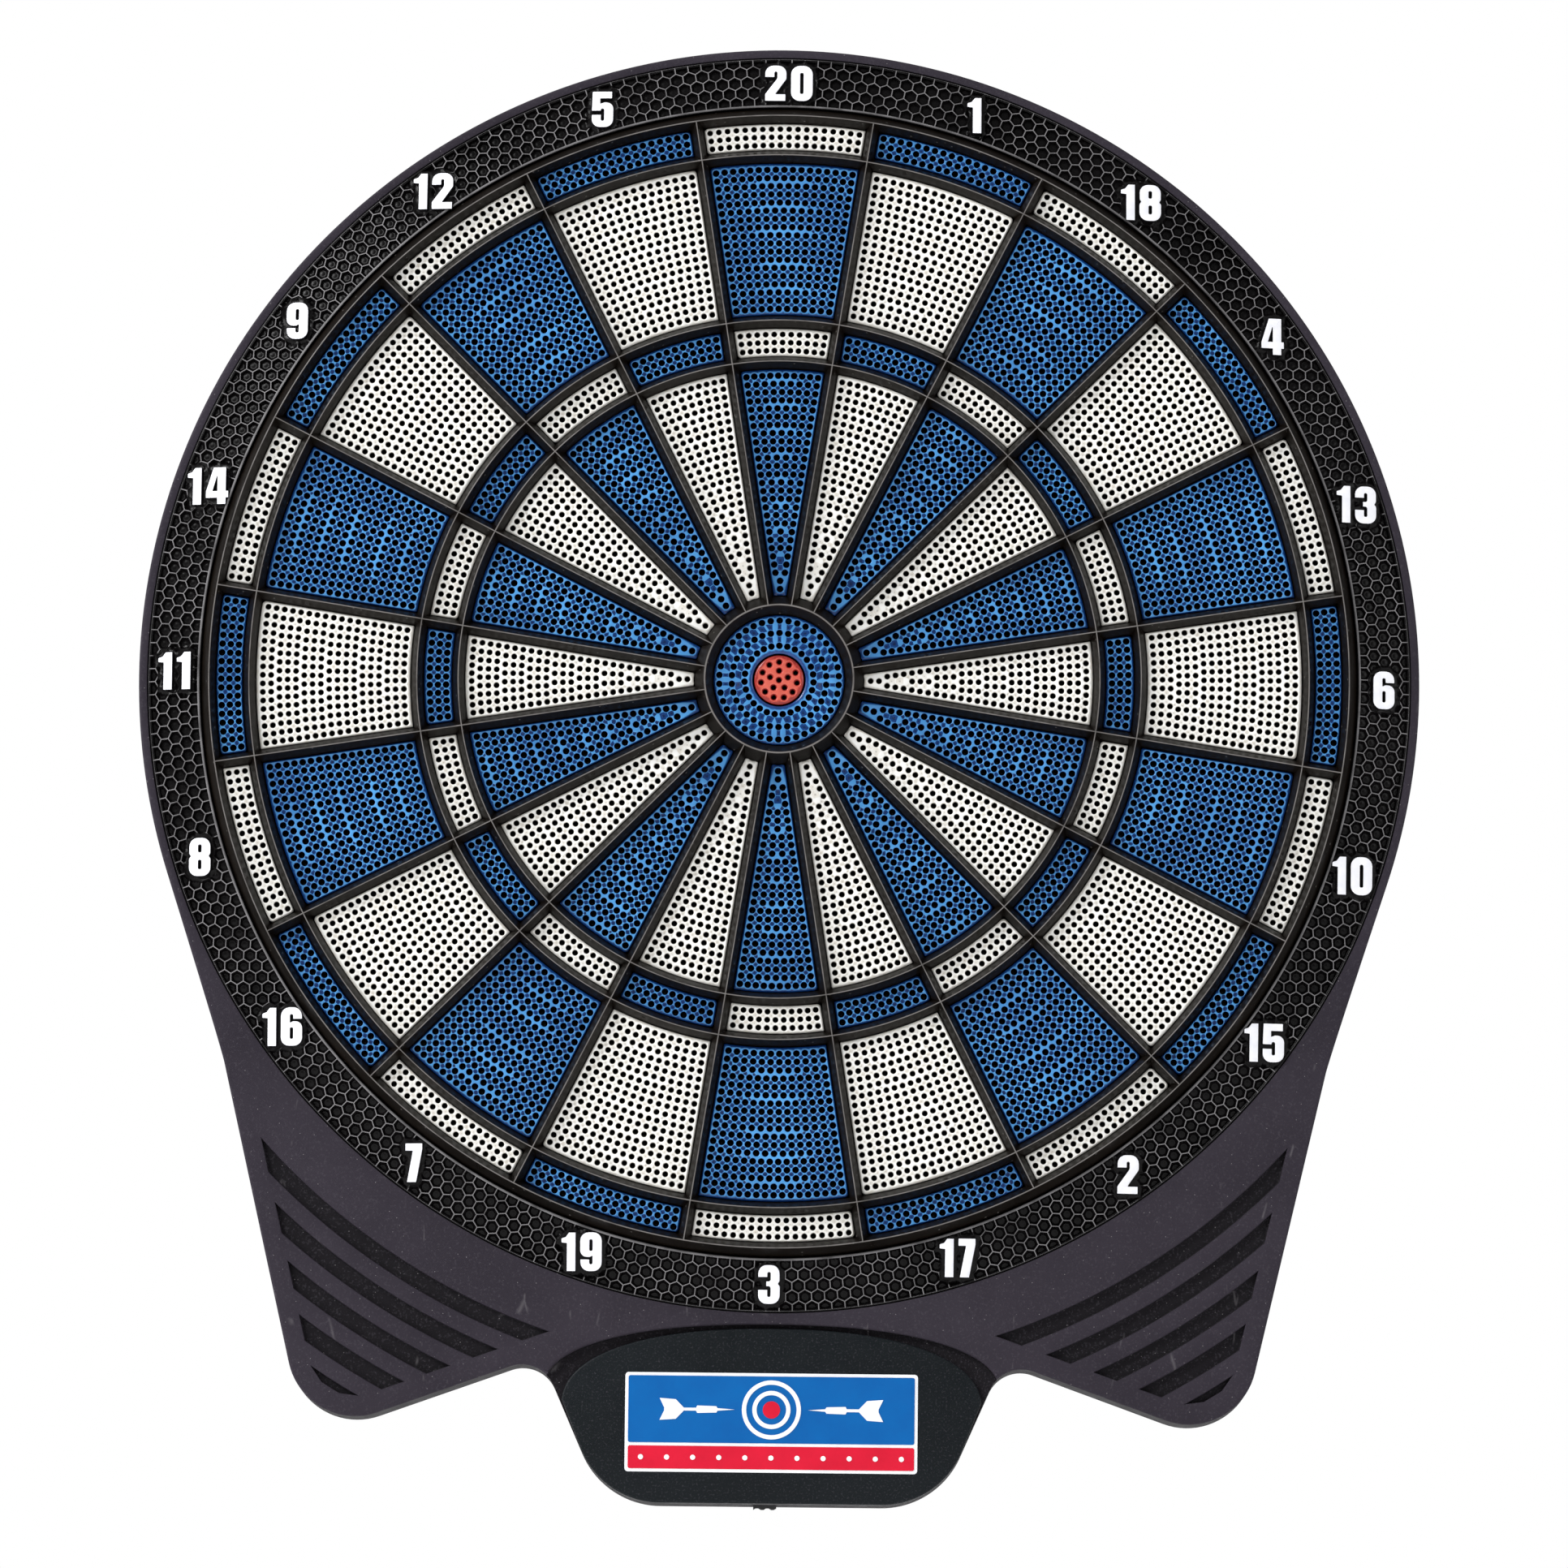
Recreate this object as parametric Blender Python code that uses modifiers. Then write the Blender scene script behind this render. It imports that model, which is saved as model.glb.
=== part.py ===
"""A wall-hung electronic dartboard for soft-tip darts, as an assembly of its separate parts.

Frame: +Z is up as the board hangs, the front faces -Y, and the origin lies on the wall plane straight
behind the bull. A depth is a distance in front of that plane, so a point at depth d has y = -d.
Outlines are lists of (x, z) points, and an angle is measured clockwise from the top of the board.
"""

import math

import bmesh
import bpy
from mathutils import Matrix, Vector

MM = 0.001

# Target layout
NUMBERS = (20, 1, 18, 4, 13, 6, 10, 15, 2, 17, 3, 19, 7, 16, 8, 11, 14, 9, 12, 5)
SECTOR = math.tau / len(NUMBERS)
BULLSEYE_RADIUS = 8.6 * MM
OUTER_BULL_RING = (9.2 * MM, 22.7 * MM)
INNER_SINGLE_RING = (29.6 * MM, 108.9 * MM)
TREBLE_RING = (113.6 * MM, 123.2 * MM)
OUTER_SINGLE_RING = (128.0 * MM, 181.4 * MM)
DOUBLE_RING = (186.2 * MM, 195.3 * MM)
SEGMENT_RINGS = (INNER_SINGLE_RING, TREBLE_RING, OUTER_SINGLE_RING, DOUBLE_RING)
HALF_SPOKE = 2.4 * MM
GAP = 0.3 * MM
FUSE = 1.0 * MM  # how far a shape runs into the one that it is joined to
THIN_FUSE = 0.6 * MM  # the same where that one is a thin wall
CUT_PAST = 1.0 * MM  # how far a cutter runs past the face that it opens
ARC_PITCH = 18.0 * MM
CIRCLE_STEPS = 60
SMALL_CIRCLE_STEPS = 24

# Depths in front of the wall
COVER_FRONT = 2.4 * MM
BACKING_BOARD = (9.0 * MM, 12.0 * MM)
SWITCH_MATRIX = (12.3 * MM, 12.8 * MM)
RUBBER_MAT = (13.1 * MM, 16.5 * MM)
WEB_BACK = 18.0 * MM
WEB_FRONT = 20.0 * MM
SEGMENT_BACK = 21.5 * MM
SEGMENT_FRONT = 29.5 * MM
SPIDER_BACK = 21.0 * MM
SPIDER_FRONT = 34.0 * MM
HOUSING_FRONT = 24.0 * MM
HOUSING_FACE_BACK = 20.0 * MM
BADGE_RECESS = 21.0 * MM
BADGE_FRONT = 24.3 * MM
LABEL_THICKNESS = 0.3 * MM

# Segment webs: the two rings of one number are joined behind the ring that lies between them.
# Each web is a bar on two feet, given as the stretches of radius that the feet cover.
WEB_OFFSET = 5.0 * MM
WEB_HALF_WIDTH = 2.5 * MM
WEB_OVERHANG = 0.5 * MM
FOOT_HALF_WIDTH = 2.0 * MM
SINGLE_FEET = ((100.0 * MM, 107.0 * MM), (130.0 * MM, 137.0 * MM))
MULTIPLE_FEET = ((116.0 * MM, 121.5 * MM), (187.5 * MM, 193.0 * MM))

# Housing outline: a circle above, and an apron of two wings and a badge tab below
HOUSING_RADIUS = 222.5 * MM
WALL = 2.6 * MM
LEAVING_ANGLE = math.radians(108)
SIDE_START = Vector((190.7, -134.7)) * MM
FOOT_CORNER = Vector((160.9, -264.2)) * MM
VALLEY_CORNER = Vector((79.8, -235.1)) * MM
TAB_CORNER = Vector((57.7, -285.5)) * MM
FOOT_FILLET = 23.5 * MM
VALLEY_FILLET = 12.0 * MM
TAB_FILLET = 29.8 * MM
FILLET_STEPS = 7

# Number ring and the spider's rim
RING_INNER = 200.8 * MM
RING_OUTER = 219.3 * MM
RING_INNER_FRONT = 30.0 * MM
RING_OUTER_FRONT = 24.2 * MM
RING_BACK = 19.5 * MM
RING_STEP_RADIUS = 206.6 * MM
RING_STEP_BACK = 23.8 * MM
SPIDER_RADIUS = 200.5 * MM
SPIDER_FLANGE_RADIUS = 206.3 * MM
SPIDER_FLANGE_FRONT = 23.5 * MM
SKIRT_INNER = 199.5 * MM
SKIRT_OUTER = 204.0 * MM
HOUSING_OPENING = 219.6 * MM
SEAT_INNER = 209.0 * MM
SEAT_WALL = (220.5 * MM, 222.0 * MM)
SEAT_BACK = 16.0 * MM
SEAT_FRONT = 19.2 * MM
MAT_RADIUS = 198.5 * MM

# Wing grooves: arcs about the bull, cut short at a margin inside the wing's outline
GROOVE_COUNT = 5
GROOVE_FIRST_RADIUS = 239.5 * MM
GROOVE_PITCH = 12.0 * MM
GROOVE_WIDTH = 6.1 * MM
GROOVE_DEPTH = 2.2 * MM
GROOVE_MARGIN = 7.0 * MM
GROOVE_STEPS = 7
GROOVE_TIP_CLEARANCE = 0.1 * MM
GROOVE_SPREADS = (math.radians(-38), math.radians(17))
FOOT_DIRECTION = math.radians(147.7)

# Badge panel on the tab: its top edge is half of a superellipse
BADGE_HALF_WIDTH = 72.5 * MM
BADGE_BASE = -252.0 * MM
BADGE_RISE = 27.0 * MM
BADGE_POWER = 2.3
BADGE_STEPS = 16
BADGE_CLEARANCE = 3.0 * MM
LABEL_SIZE = (101.0 * MM, 34.3 * MM)
LABEL_CENTRE = Vector((0.0, -257.6)) * MM
LABEL_CORNER = 1.2 * MM

# Rear cover
KEYHOLE_CENTRES = (Vector((-90.0, 120.0)) * MM, Vector((90.0, 120.0)) * MM)
KEYHOLE_ENTRY_HALF = 5.2 * MM
KEYHOLE_SLOT_HALF = 2.6 * MM
KEYHOLE_RISE = 9.0 * MM
HOOD_WALL = 1.4 * MM
HOOD_HALF_SIZE = Vector((5.8, 10.2)) * MM
HOOD_OFFSET = Vector((0.0, 4.4)) * MM
HOOD_DEPTH = 7.3 * MM
SUPPORT_RING = (166.0 * MM, 170.0 * MM)
BOSS_RADIUS = 3.6 * MM
BOSS_STEPS = 10
BOSS_ANGLES = [math.radians(a) for a in (0, 45, 90, 135, 225, 270, 315)]
BOSS_CIRCLE = 213.5 * MM
APRON_BOSSES = [Vector(p) * MM for p in ((165.0, -170.0), (100.0, -227.0), (58.0, -264.0))]

# Battery bay in the right wing, for three AAA cells standing side by side
BAY_CENTRE = Vector((140.0, -213.4)) * MM
BAY_HALF_SIZE = Vector((16.6, 23.8)) * MM
BAY_WALL = 1.5 * MM
BAY_DEPTH = 13.8 * MM
CELL_RADIUS = 5.25 * MM
CELL_LENGTH = 44.5 * MM
CELL_PITCH = 10.9 * MM
CELL_DEPTH = 8.2 * MM
CELL_COUNT = 3
CELL_STEPS = 16
DOOR_DEPTHS = (0.1 * MM, 2.2 * MM)
CONTACT_THICKNESS = 0.4 * MM

# Speaker in the left wing, circuit board and power switch in the tab
SPEAKER_CENTRE = Vector((-140.0, -212.0)) * MM
SPEAKER_RADIUS = 20.0 * MM
SPEAKER_DEPTHS = (3.0 * MM, 14.0 * MM)
COLLAR_WALL = 1.6 * MM
COLLAR_FRONT = 9.0 * MM
GRILLE_SLOTS = 5
GRILLE_PITCH = 5.0 * MM
GRILLE_HALF_WIDTH = 1.1 * MM
BOARD_CENTRE = Vector((0.0, -257.0)) * MM
BOARD_HALF_SIZE = Vector((42.0, 17.0)) * MM
BOARD_DEPTHS = (8.0 * MM, 9.6 * MM)
SWITCH_TRAVEL = 4.0 * MM
SWITCH_CAP_HALF_WIDTH = 4.0 * MM
SWITCH_DEPTHS = (10.0 * MM, 14.0 * MM)
SWITCH_PROTRUSION = 1.5 * MM
SWITCH_FLANGE = 1.6 * MM
SWITCH_FLANGE_OVERHANG = 2.5 * MM
SWITCH_FLANGE_STEP = 1.2 * MM
SWITCH_BODY_HALF_WIDTH = 5.0 * MM
SWITCH_BODY_MARGIN = 1.0 * MM
SWITCH_BODY_OVERLAP = 0.5 * MM
SWITCH_BODY_STEP = 0.2 * MM
RIBBON_HALF_WIDTH = 11.0 * MM
RIBBON_THICKNESS = 0.4 * MM
RIBBON_SLOT = (-191.0 * MM, -186.0 * MM)
RIBBON_SLOT_MARGIN = 1.5 * MM
RIBBON_TOP_MARGIN = 1.0 * MM
RIBBON_BEND = 3.0 * MM
RIBBON_TAIL = 8.0 * MM

COLOURS = {
    "housing_plastic": ((0.040, 0.036, 0.046), 0.62),
    "ring_plastic": ((0.012, 0.011, 0.013), 0.30),
    "spider_plastic": ((0.022, 0.021, 0.024), 0.34),
    "blue_plastic": ((0.020, 0.170, 0.560), 0.42),
    "white_plastic": ((0.860, 0.840, 0.780), 0.45),
    "red_plastic": ((0.780, 0.060, 0.060), 0.42),
    "badge_plastic": ((0.013, 0.017, 0.019), 0.40),
    "label_print": ((0.005, 0.160, 0.520), 0.35),
    "mat_rubber": ((0.050, 0.050, 0.050), 0.85),
    "matrix_film": ((0.650, 0.620, 0.520), 0.30),
    "backing_plate": ((0.080, 0.080, 0.085), 0.60),
    "circuit_laminate": ((0.020, 0.180, 0.070), 0.45),
    "speaker_metal": ((0.450, 0.450, 0.460), 0.35),
    "cell_sleeve": ((0.550, 0.400, 0.120), 0.30),
    "contact_nickel": ((0.700, 0.680, 0.630), 0.25),
    "switch_plastic": ((0.700, 0.050, 0.045), 0.45),
}
METALS = ("speaker_metal", "contact_nickel")


def clear_scene():
    for item in list(bpy.data.objects):
        bpy.data.objects.remove(item, do_unlink=True)


def make_material(slot):
    colour, roughness = COLOURS[slot]
    material = bpy.data.materials.new(slot)
    material.use_nodes = True
    shader = material.node_tree.nodes["Principled BSDF"]
    shader.inputs["Base Color"].default_value = (*colour, 1.0)
    shader.inputs["Roughness"].default_value = roughness
    shader.inputs["Metallic"].default_value = 1.0 if slot in METALS else 0.0
    return material


# Outlines


def polar(radius, angle):
    return Vector((radius * math.sin(angle), radius * math.cos(angle)))


def circle(radius, steps=CIRCLE_STEPS, centre=Vector((0.0, 0.0))):
    return [centre + polar(radius, math.tau * i / steps) for i in range(steps)]


def box(centre, half_size):
    corners = ((-1, 1), (1, 1), (1, -1), (-1, -1))
    return [centre + Vector((sx * half_size.x, sz * half_size.y)) for sx, sz in corners]


def fillet(before, corner, after, radius, steps=FILLET_STEPS):
    """The arc that rounds a corner, as points from the first tangent to the second."""
    to_before = (before - corner).normalized()
    to_after = (after - corner).normalized()
    half = to_before.angle(to_after) / 2
    centre = corner + (to_before + to_after).normalized() * radius / math.sin(half)
    start = corner + to_before * radius / math.tan(half) - centre
    end = corner + to_after * radius / math.tan(half) - centre
    first = math.atan2(start.y, start.x)
    turn = (math.atan2(end.y, end.x) - first + math.pi) % math.tau - math.pi
    angles = [first + turn * i / steps for i in range(steps + 1)]
    return [centre + radius * Vector((math.cos(a), math.sin(a))) for a in angles]


def meeting_point(start_a, along_a, start_b, along_b):
    """Where two straight lines cross."""
    step = (start_b - start_a).cross(along_b) / along_a.cross(along_b)
    return start_a + along_a * step


def mirrored(points):
    return [Vector((-p.x, p.y)) for p in reversed(points)]


def inset(points, distance):
    """A clockwise outline moved inwards by a distance."""
    moved = []
    for i, point in enumerate(points):
        ahead = (points[(i + 1) % len(points)] - point).normalized()
        behind = (point - points[i - 1]).normalized()
        normal = Vector((ahead.y + behind.y, -ahead.x - behind.x)).normalized()
        square_to_edge = Vector((ahead.y, -ahead.x))
        moved.append(point + normal * distance / normal.dot(square_to_edge))
    return moved


def sector(index, ring, side_gap, grow=0.0):
    """One number's share of a ring, between sides that run parallel to the spokes."""
    centre = index * SECTOR
    points = []
    for radius, growth, way in ((ring[1], grow, 1), (ring[0], -grow, -1)):
        steps = max(1, round(radius * SECTOR / ARC_PITCH))
        half = SECTOR / 2 - math.asin((side_gap - grow) / (radius + growth))
        for i in range(steps + 1):
            points.append(polar(radius + growth, centre + way * half * (2 * i / steps - 1)))
    return points


def housing_half():
    """Right half of the outline, clockwise from the top."""
    steps = round(CIRCLE_STEPS * LEAVING_ANGLE / math.tau)
    arc = [polar(HOUSING_RADIUS, LEAVING_ANGLE * i / steps) for i in range(steps + 1)]
    leaving_way = Vector((math.cos(LEAVING_ANGLE), -math.sin(LEAVING_ANGLE)))
    side_way = FOOT_CORNER - SIDE_START
    control = meeting_point(arc[-1], leaving_way, SIDE_START, side_way)
    flank = []
    for i in range(1, FILLET_STEPS + 1):
        t = i / FILLET_STEPS
        flank.append(arc[-1] * (1 - t) ** 2 + control * 2 * t * (1 - t) + SIDE_START * t**2)
    far_tab_corner = Vector((-TAB_CORNER.x, TAB_CORNER.y))
    foot = fillet(SIDE_START, FOOT_CORNER, VALLEY_CORNER, FOOT_FILLET)
    valley = fillet(FOOT_CORNER, VALLEY_CORNER, TAB_CORNER, VALLEY_FILLET)
    tab = fillet(VALLEY_CORNER, TAB_CORNER, far_tab_corner, TAB_FILLET)
    return arc + flank + foot + valley + tab


def housing_outline():
    half = housing_half()
    return half + mirrored(half)[:-1]


def badge_top(grow=0.0):
    """Top edge of the badge panel, from its left end over to its right end."""
    points = []
    for i in range(BADGE_STEPS + 1):
        turn = math.pi * (1 - i / BADGE_STEPS)
        across = math.copysign(abs(math.cos(turn)) ** (2 / BADGE_POWER), math.cos(turn))
        up = math.sin(turn) ** (2 / BADGE_POWER)
        x = (BADGE_HALF_WIDTH + grow) * across
        points.append(Vector((x, BADGE_BASE + (BADGE_RISE + grow) * up)))
    return points


def badge_outline():
    """The badge panel: its top edge, then down and round the tab."""
    half = housing_half()
    right = [p for p in half if p.y < BADGE_BASE and p.x < BADGE_HALF_WIDTH]
    return badge_top()[1:-1] + right + mirrored(right)


def badge_recess():
    """The step in the housing that takes the badge panel, run out past the tab's edge."""
    side = BADGE_HALF_WIDTH + BADGE_CLEARANCE
    below = TAB_CORNER.y - BADGE_CLEARANCE
    return badge_top(BADGE_CLEARANCE) + [Vector((side, below)), Vector((-side, below))]


def groove_field():
    """The part of the right wing that grooves may fill, closed at the board's centre."""
    foot = fillet(SIDE_START, FOOT_CORNER, VALLEY_CORNER, FOOT_FILLET)
    inner_end = VALLEY_CORNER + (VALLEY_CORNER - FOOT_CORNER) * 0.5
    return inset([Vector((0.0, 0.0)), SIDE_START] + foot + [inner_end], GROOVE_MARGIN)


def reach(field, angle):
    """Distance from the board's centre to the edge of the field along a direction."""
    way = polar(1.0, angle)
    for a, b in zip(field[1:], field[2:]):
        if way.cross(a) * way.cross(b) <= 0:
            crossing = meeting_point(Vector((0.0, 0.0)), way, a, b - a)
            if crossing.dot(way) > 0:
                return crossing.length
    return 0.0


def angle_at_reach(field, radius, spread):
    """The direction, between the foot and a spread away from it, where the field ends at a radius."""
    inside = FOOT_DIRECTION
    outside = FOOT_DIRECTION + spread
    for _ in range(40):
        middle = (inside + outside) / 2
        if reach(field, middle) > radius:
            inside = middle
        else:
            outside = middle
    return inside


def groove(field, index):
    """One groove of the right wing: an arc-shaped slot that tapers to a point at both ends."""
    inner = GROOVE_FIRST_RADIUS + index * GROOVE_PITCH
    outer = min(inner + GROOVE_WIDTH, reach(field, FOOT_DIRECTION) - GROOVE_TIP_CLEARANCE)
    tips = [angle_at_reach(field, inner, spread) for spread in GROOVE_SPREADS]
    ends = [angle_at_reach(field, outer, spread) for spread in GROOVE_SPREADS]
    angles = [ends[0] + (ends[1] - ends[0]) * i / GROOVE_STEPS for i in range(GROOVE_STEPS + 1)]
    near_edge = [polar(inner, a) for a in [tips[0]] + angles + [tips[1]]]
    far_edge = [polar(outer, a) for a in reversed(angles)]
    return near_edge + far_edge


def keyhole(centre):
    """Square entry for a screw head, with a narrow slot above it for the shank."""
    slot = KEYHOLE_SLOT_HALF
    half = KEYHOLE_ENTRY_HALF
    top = KEYHOLE_RISE + slot
    right = ((slot, top), (slot, half), (half, half), (half, -half))
    left = [(-x, z) for x, z in reversed(right)]
    return [centre + Vector(p) for p in right + tuple(left)]


def grille_slot(index):
    across = (index - (GRILLE_SLOTS - 1) / 2) * GRILLE_PITCH
    half_length = math.sqrt((SPEAKER_RADIUS * 0.8) ** 2 - across**2)
    return box(SPEAKER_CENTRE + Vector((0.0, across)), Vector((half_length, GRILLE_HALF_WIDTH)))


def rounded_box(centre, half_size, radius, steps):
    corners = box(centre, half_size)
    points = []
    for i, corner in enumerate(corners):
        points += fillet(corners[i - 1], corner, corners[(i + 1) % 4], radius, steps)
    return points


# Solids


def evaluated_mesh(item):
    depsgraph = bpy.context.evaluated_depsgraph_get()
    return bpy.data.meshes.new_from_object(item.evaluated_get(depsgraph))


def weld(mesh):
    work = bmesh.new()
    work.from_mesh(mesh)
    bmesh.ops.remove_doubles(work, verts=work.verts, dist=1e-6)
    work.to_mesh(mesh)
    work.free()


def face_forward(mesh, depth):
    """Turns a shape drawn flat, with its own Z as its front, to face the room at a depth."""
    mesh.transform(Matrix.Translation((0, -depth, 0)) @ Matrix.Rotation(math.pi / 2, 4, "X"))


def as_mesh_object(item, depth):
    """Replaces a drawn object by a plain mesh object that faces the room."""
    mesh = evaluated_mesh(item)
    weld(mesh)
    face_forward(mesh, depth)
    name = item.name
    bpy.data.objects.remove(item, do_unlink=True)
    solid = bpy.data.objects.new(name, mesh)
    PARTS.objects.link(solid)
    return solid


def plate(name, loops, back, front):
    """A flat plate between two depths: the first loop is its edge, and any others are holes."""
    curve = bpy.data.curves.new(name, "CURVE")
    curve.dimensions = "2D"
    curve.fill_mode = "BOTH"
    curve.extrude = (front - back) / 2
    for loop in loops:
        spline = curve.splines.new("POLY")
        spline.points.add(len(loop) - 1)
        spline.use_cyclic_u = True
        for place, point in zip(spline.points, loop):
            place.co = (point.x, point.y, 0.0, 1.0)
    drawn = bpy.data.objects.new(name, curve)
    PARTS.objects.link(drawn)
    return as_mesh_object(drawn, (front + back) / 2)


def turned(name, profile, steps=CIRCLE_STEPS):
    """A ring turned about the board's axis from a closed (radius, depth) profile."""
    mesh = bpy.data.meshes.new(name)
    edges = [(i, (i + 1) % len(profile)) for i in range(len(profile))]
    mesh.from_pydata([(radius, 0.0, depth) for radius, depth in profile], edges, [])
    drawn = bpy.data.objects.new(name, mesh)
    PARTS.objects.link(drawn)
    screw = drawn.modifiers.new("turn", "SCREW")
    screw.steps = steps
    screw.render_steps = steps
    screw.use_merge_vertices = True
    screw.merge_threshold = 1e-6
    return as_mesh_object(drawn, 0.0)


def rod(name, radius, length, middle, steps=SMALL_CIRCLE_STEPS):
    """A round bar standing upright, centred on a point."""
    bpy.ops.mesh.primitive_cylinder_add(vertices=steps, radius=radius, depth=length, location=middle)
    bar = bpy.context.object
    bar.name = name
    bar.data.transform(bar.matrix_world)
    bar.matrix_world = Matrix.Identity(4)
    for collection in list(bar.users_collection):
        collection.objects.unlink(bar)
    PARTS.objects.link(bar)
    return bar


def combine(target, operation, *others, solver="EXACT"):
    """Adds or cuts other solids, which are used up."""
    for other in others:
        boolean = target.modifiers.new("combine", "BOOLEAN")
        boolean.operation = operation
        boolean.solver = solver
        boolean.object = other
        mesh = evaluated_mesh(target)
        weld(mesh)
        target.modifiers.clear()
        target.data = mesh
        bpy.data.objects.remove(other, do_unlink=True)
    return target


def finish(item, slot, smooth=False):
    """Gives a part its material, its shading and its origin at the board's origin."""
    item.data.materials.clear()
    item.data.materials.append(MATERIALS[slot])
    if smooth:
        item.data.shade_smooth()
        item.data.set_sharp_from_angle(angle=math.radians(30))
    item.parent = BOARD


def move_origin(item, centre):
    """Puts a moving part's origin on its joint axis, without moving the part."""
    item.data.transform(Matrix.Translation(-centre))
    item.location = centre


# The target


def bar(index, offset, span, half_width):
    """A radial strip to one side of a number's centre line."""
    centre_line = polar(1.0, index * SECTOR)
    across = Vector((centre_line.y, -centre_line.x))
    corners = []
    for distance, side in ((span[0], -1), (span[1], -1), (span[1], 1), (span[0], 1)):
        corners.append(centre_line * distance + across * (offset + side * half_width))
    return corners


def build_segment_pair(name, slot, index, rings, web_offset, feet):
    """Two segments of one number and the web that joins them, as one moving piece."""
    loops = [sector(index, ring, HALF_SPOKE) for ring in rings]
    pair, other = [plate(name, [loop], SEGMENT_BACK, SEGMENT_FRONT) for loop in loops]
    foot_loops = [bar(index, web_offset, foot, FOOT_HALF_WIDTH) for foot in feet]
    foot_back = WEB_FRONT - FUSE
    foot_front = SEGMENT_BACK + FUSE
    foot_blocks = plate("feet", foot_loops, foot_back, foot_front)
    web_span = (feet[0][0] - WEB_OVERHANG, feet[1][1] + WEB_OVERHANG)
    web_loop = bar(index, web_offset, web_span, WEB_HALF_WIDTH)
    web = plate("web", [web_loop], WEB_BACK, WEB_FRONT)
    combine(pair, "UNION", other, foot_blocks, web)
    pair.name = name
    finish(pair, slot)
    middle = polar(sum(web_span) / 2, index * SECTOR)
    move_origin(pair, Vector((middle.x, -SEGMENT_BACK, middle.y)))


def build_segments():
    for index, number in enumerate(NUMBERS):
        single_slot, multiple_slot = "blue_plastic", "white_plastic"
        if index % 2:
            single_slot, multiple_slot = multiple_slot, single_slot
        singles = (INNER_SINGLE_RING, OUTER_SINGLE_RING)
        multiples = (TREBLE_RING, DOUBLE_RING)
        name = f"single_{number:02d}"
        build_segment_pair(name, single_slot, index, singles, -WEB_OFFSET, SINGLE_FEET)
        name = f"multiple_{number:02d}"
        build_segment_pair(name, multiple_slot, index, multiples, WEB_OFFSET, MULTIPLE_FEET)


def build_bulls():
    edge = circle(OUTER_BULL_RING[1], SMALL_CIRCLE_STEPS)
    hole = circle(OUTER_BULL_RING[0], SMALL_CIRCLE_STEPS)
    outer = plate("outer_bull", [edge, hole], WEB_BACK, SEGMENT_FRONT)
    finish(outer, "blue_plastic", smooth=True)
    eye = plate("bullseye", [circle(BULLSEYE_RADIUS, SMALL_CIRCLE_STEPS)], WEB_BACK, SEGMENT_FRONT)
    finish(eye, "red_plastic", smooth=True)


def build_spider():
    """The rib grid that keeps the segments apart, with a skirt that houses the mat behind them."""
    pockets = [circle(OUTER_BULL_RING[1] + GAP, SMALL_CIRCLE_STEPS)]
    for index in range(len(NUMBERS)):
        pockets += [sector(index, ring, HALF_SPOKE, GAP) for ring in SEGMENT_RINGS]
    grid = plate("spider", [circle(SPIDER_RADIUS)] + pockets, SPIDER_BACK, SPIDER_FRONT)
    skirt_back = BACKING_BOARD[1] + GAP
    rim = turned(
        "rim",
        [
            (SPIDER_FLANGE_RADIUS, SPIDER_FLANGE_FRONT),
            (SPIDER_FLANGE_RADIUS, SPIDER_BACK),
            (SKIRT_OUTER, SPIDER_BACK),
            (SKIRT_OUTER, skirt_back),
            (SKIRT_INNER, skirt_back),
            (SKIRT_INNER, SPIDER_FLANGE_FRONT),
        ],
    )
    finish(combine(grid, "UNION", rim), "spider_plastic")


# Behind the target


def build_layers():
    """The sprung mat, the switch film and the board that backs them."""
    mat = plate("rubber_mat", [circle(MAT_RADIUS, SMALL_CIRCLE_STEPS)], *RUBBER_MAT)
    finish(mat, "mat_rubber", smooth=True)
    film = plate("switch_matrix", [circle(MAT_RADIUS, SMALL_CIRCLE_STEPS)], *SWITCH_MATRIX)
    finish(film, "matrix_film", smooth=True)
    slot_centre = Vector((0.0, sum(RIBBON_SLOT) / 2))
    slot_half = Vector((RIBBON_HALF_WIDTH + RIBBON_SLOT_MARGIN, (RIBBON_SLOT[1] - RIBBON_SLOT[0]) / 2))
    loops = [circle(SKIRT_OUTER), box(slot_centre, slot_half)]
    finish(plate("backing_board", loops, *BACKING_BOARD), "backing_plate", smooth=True)


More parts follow.
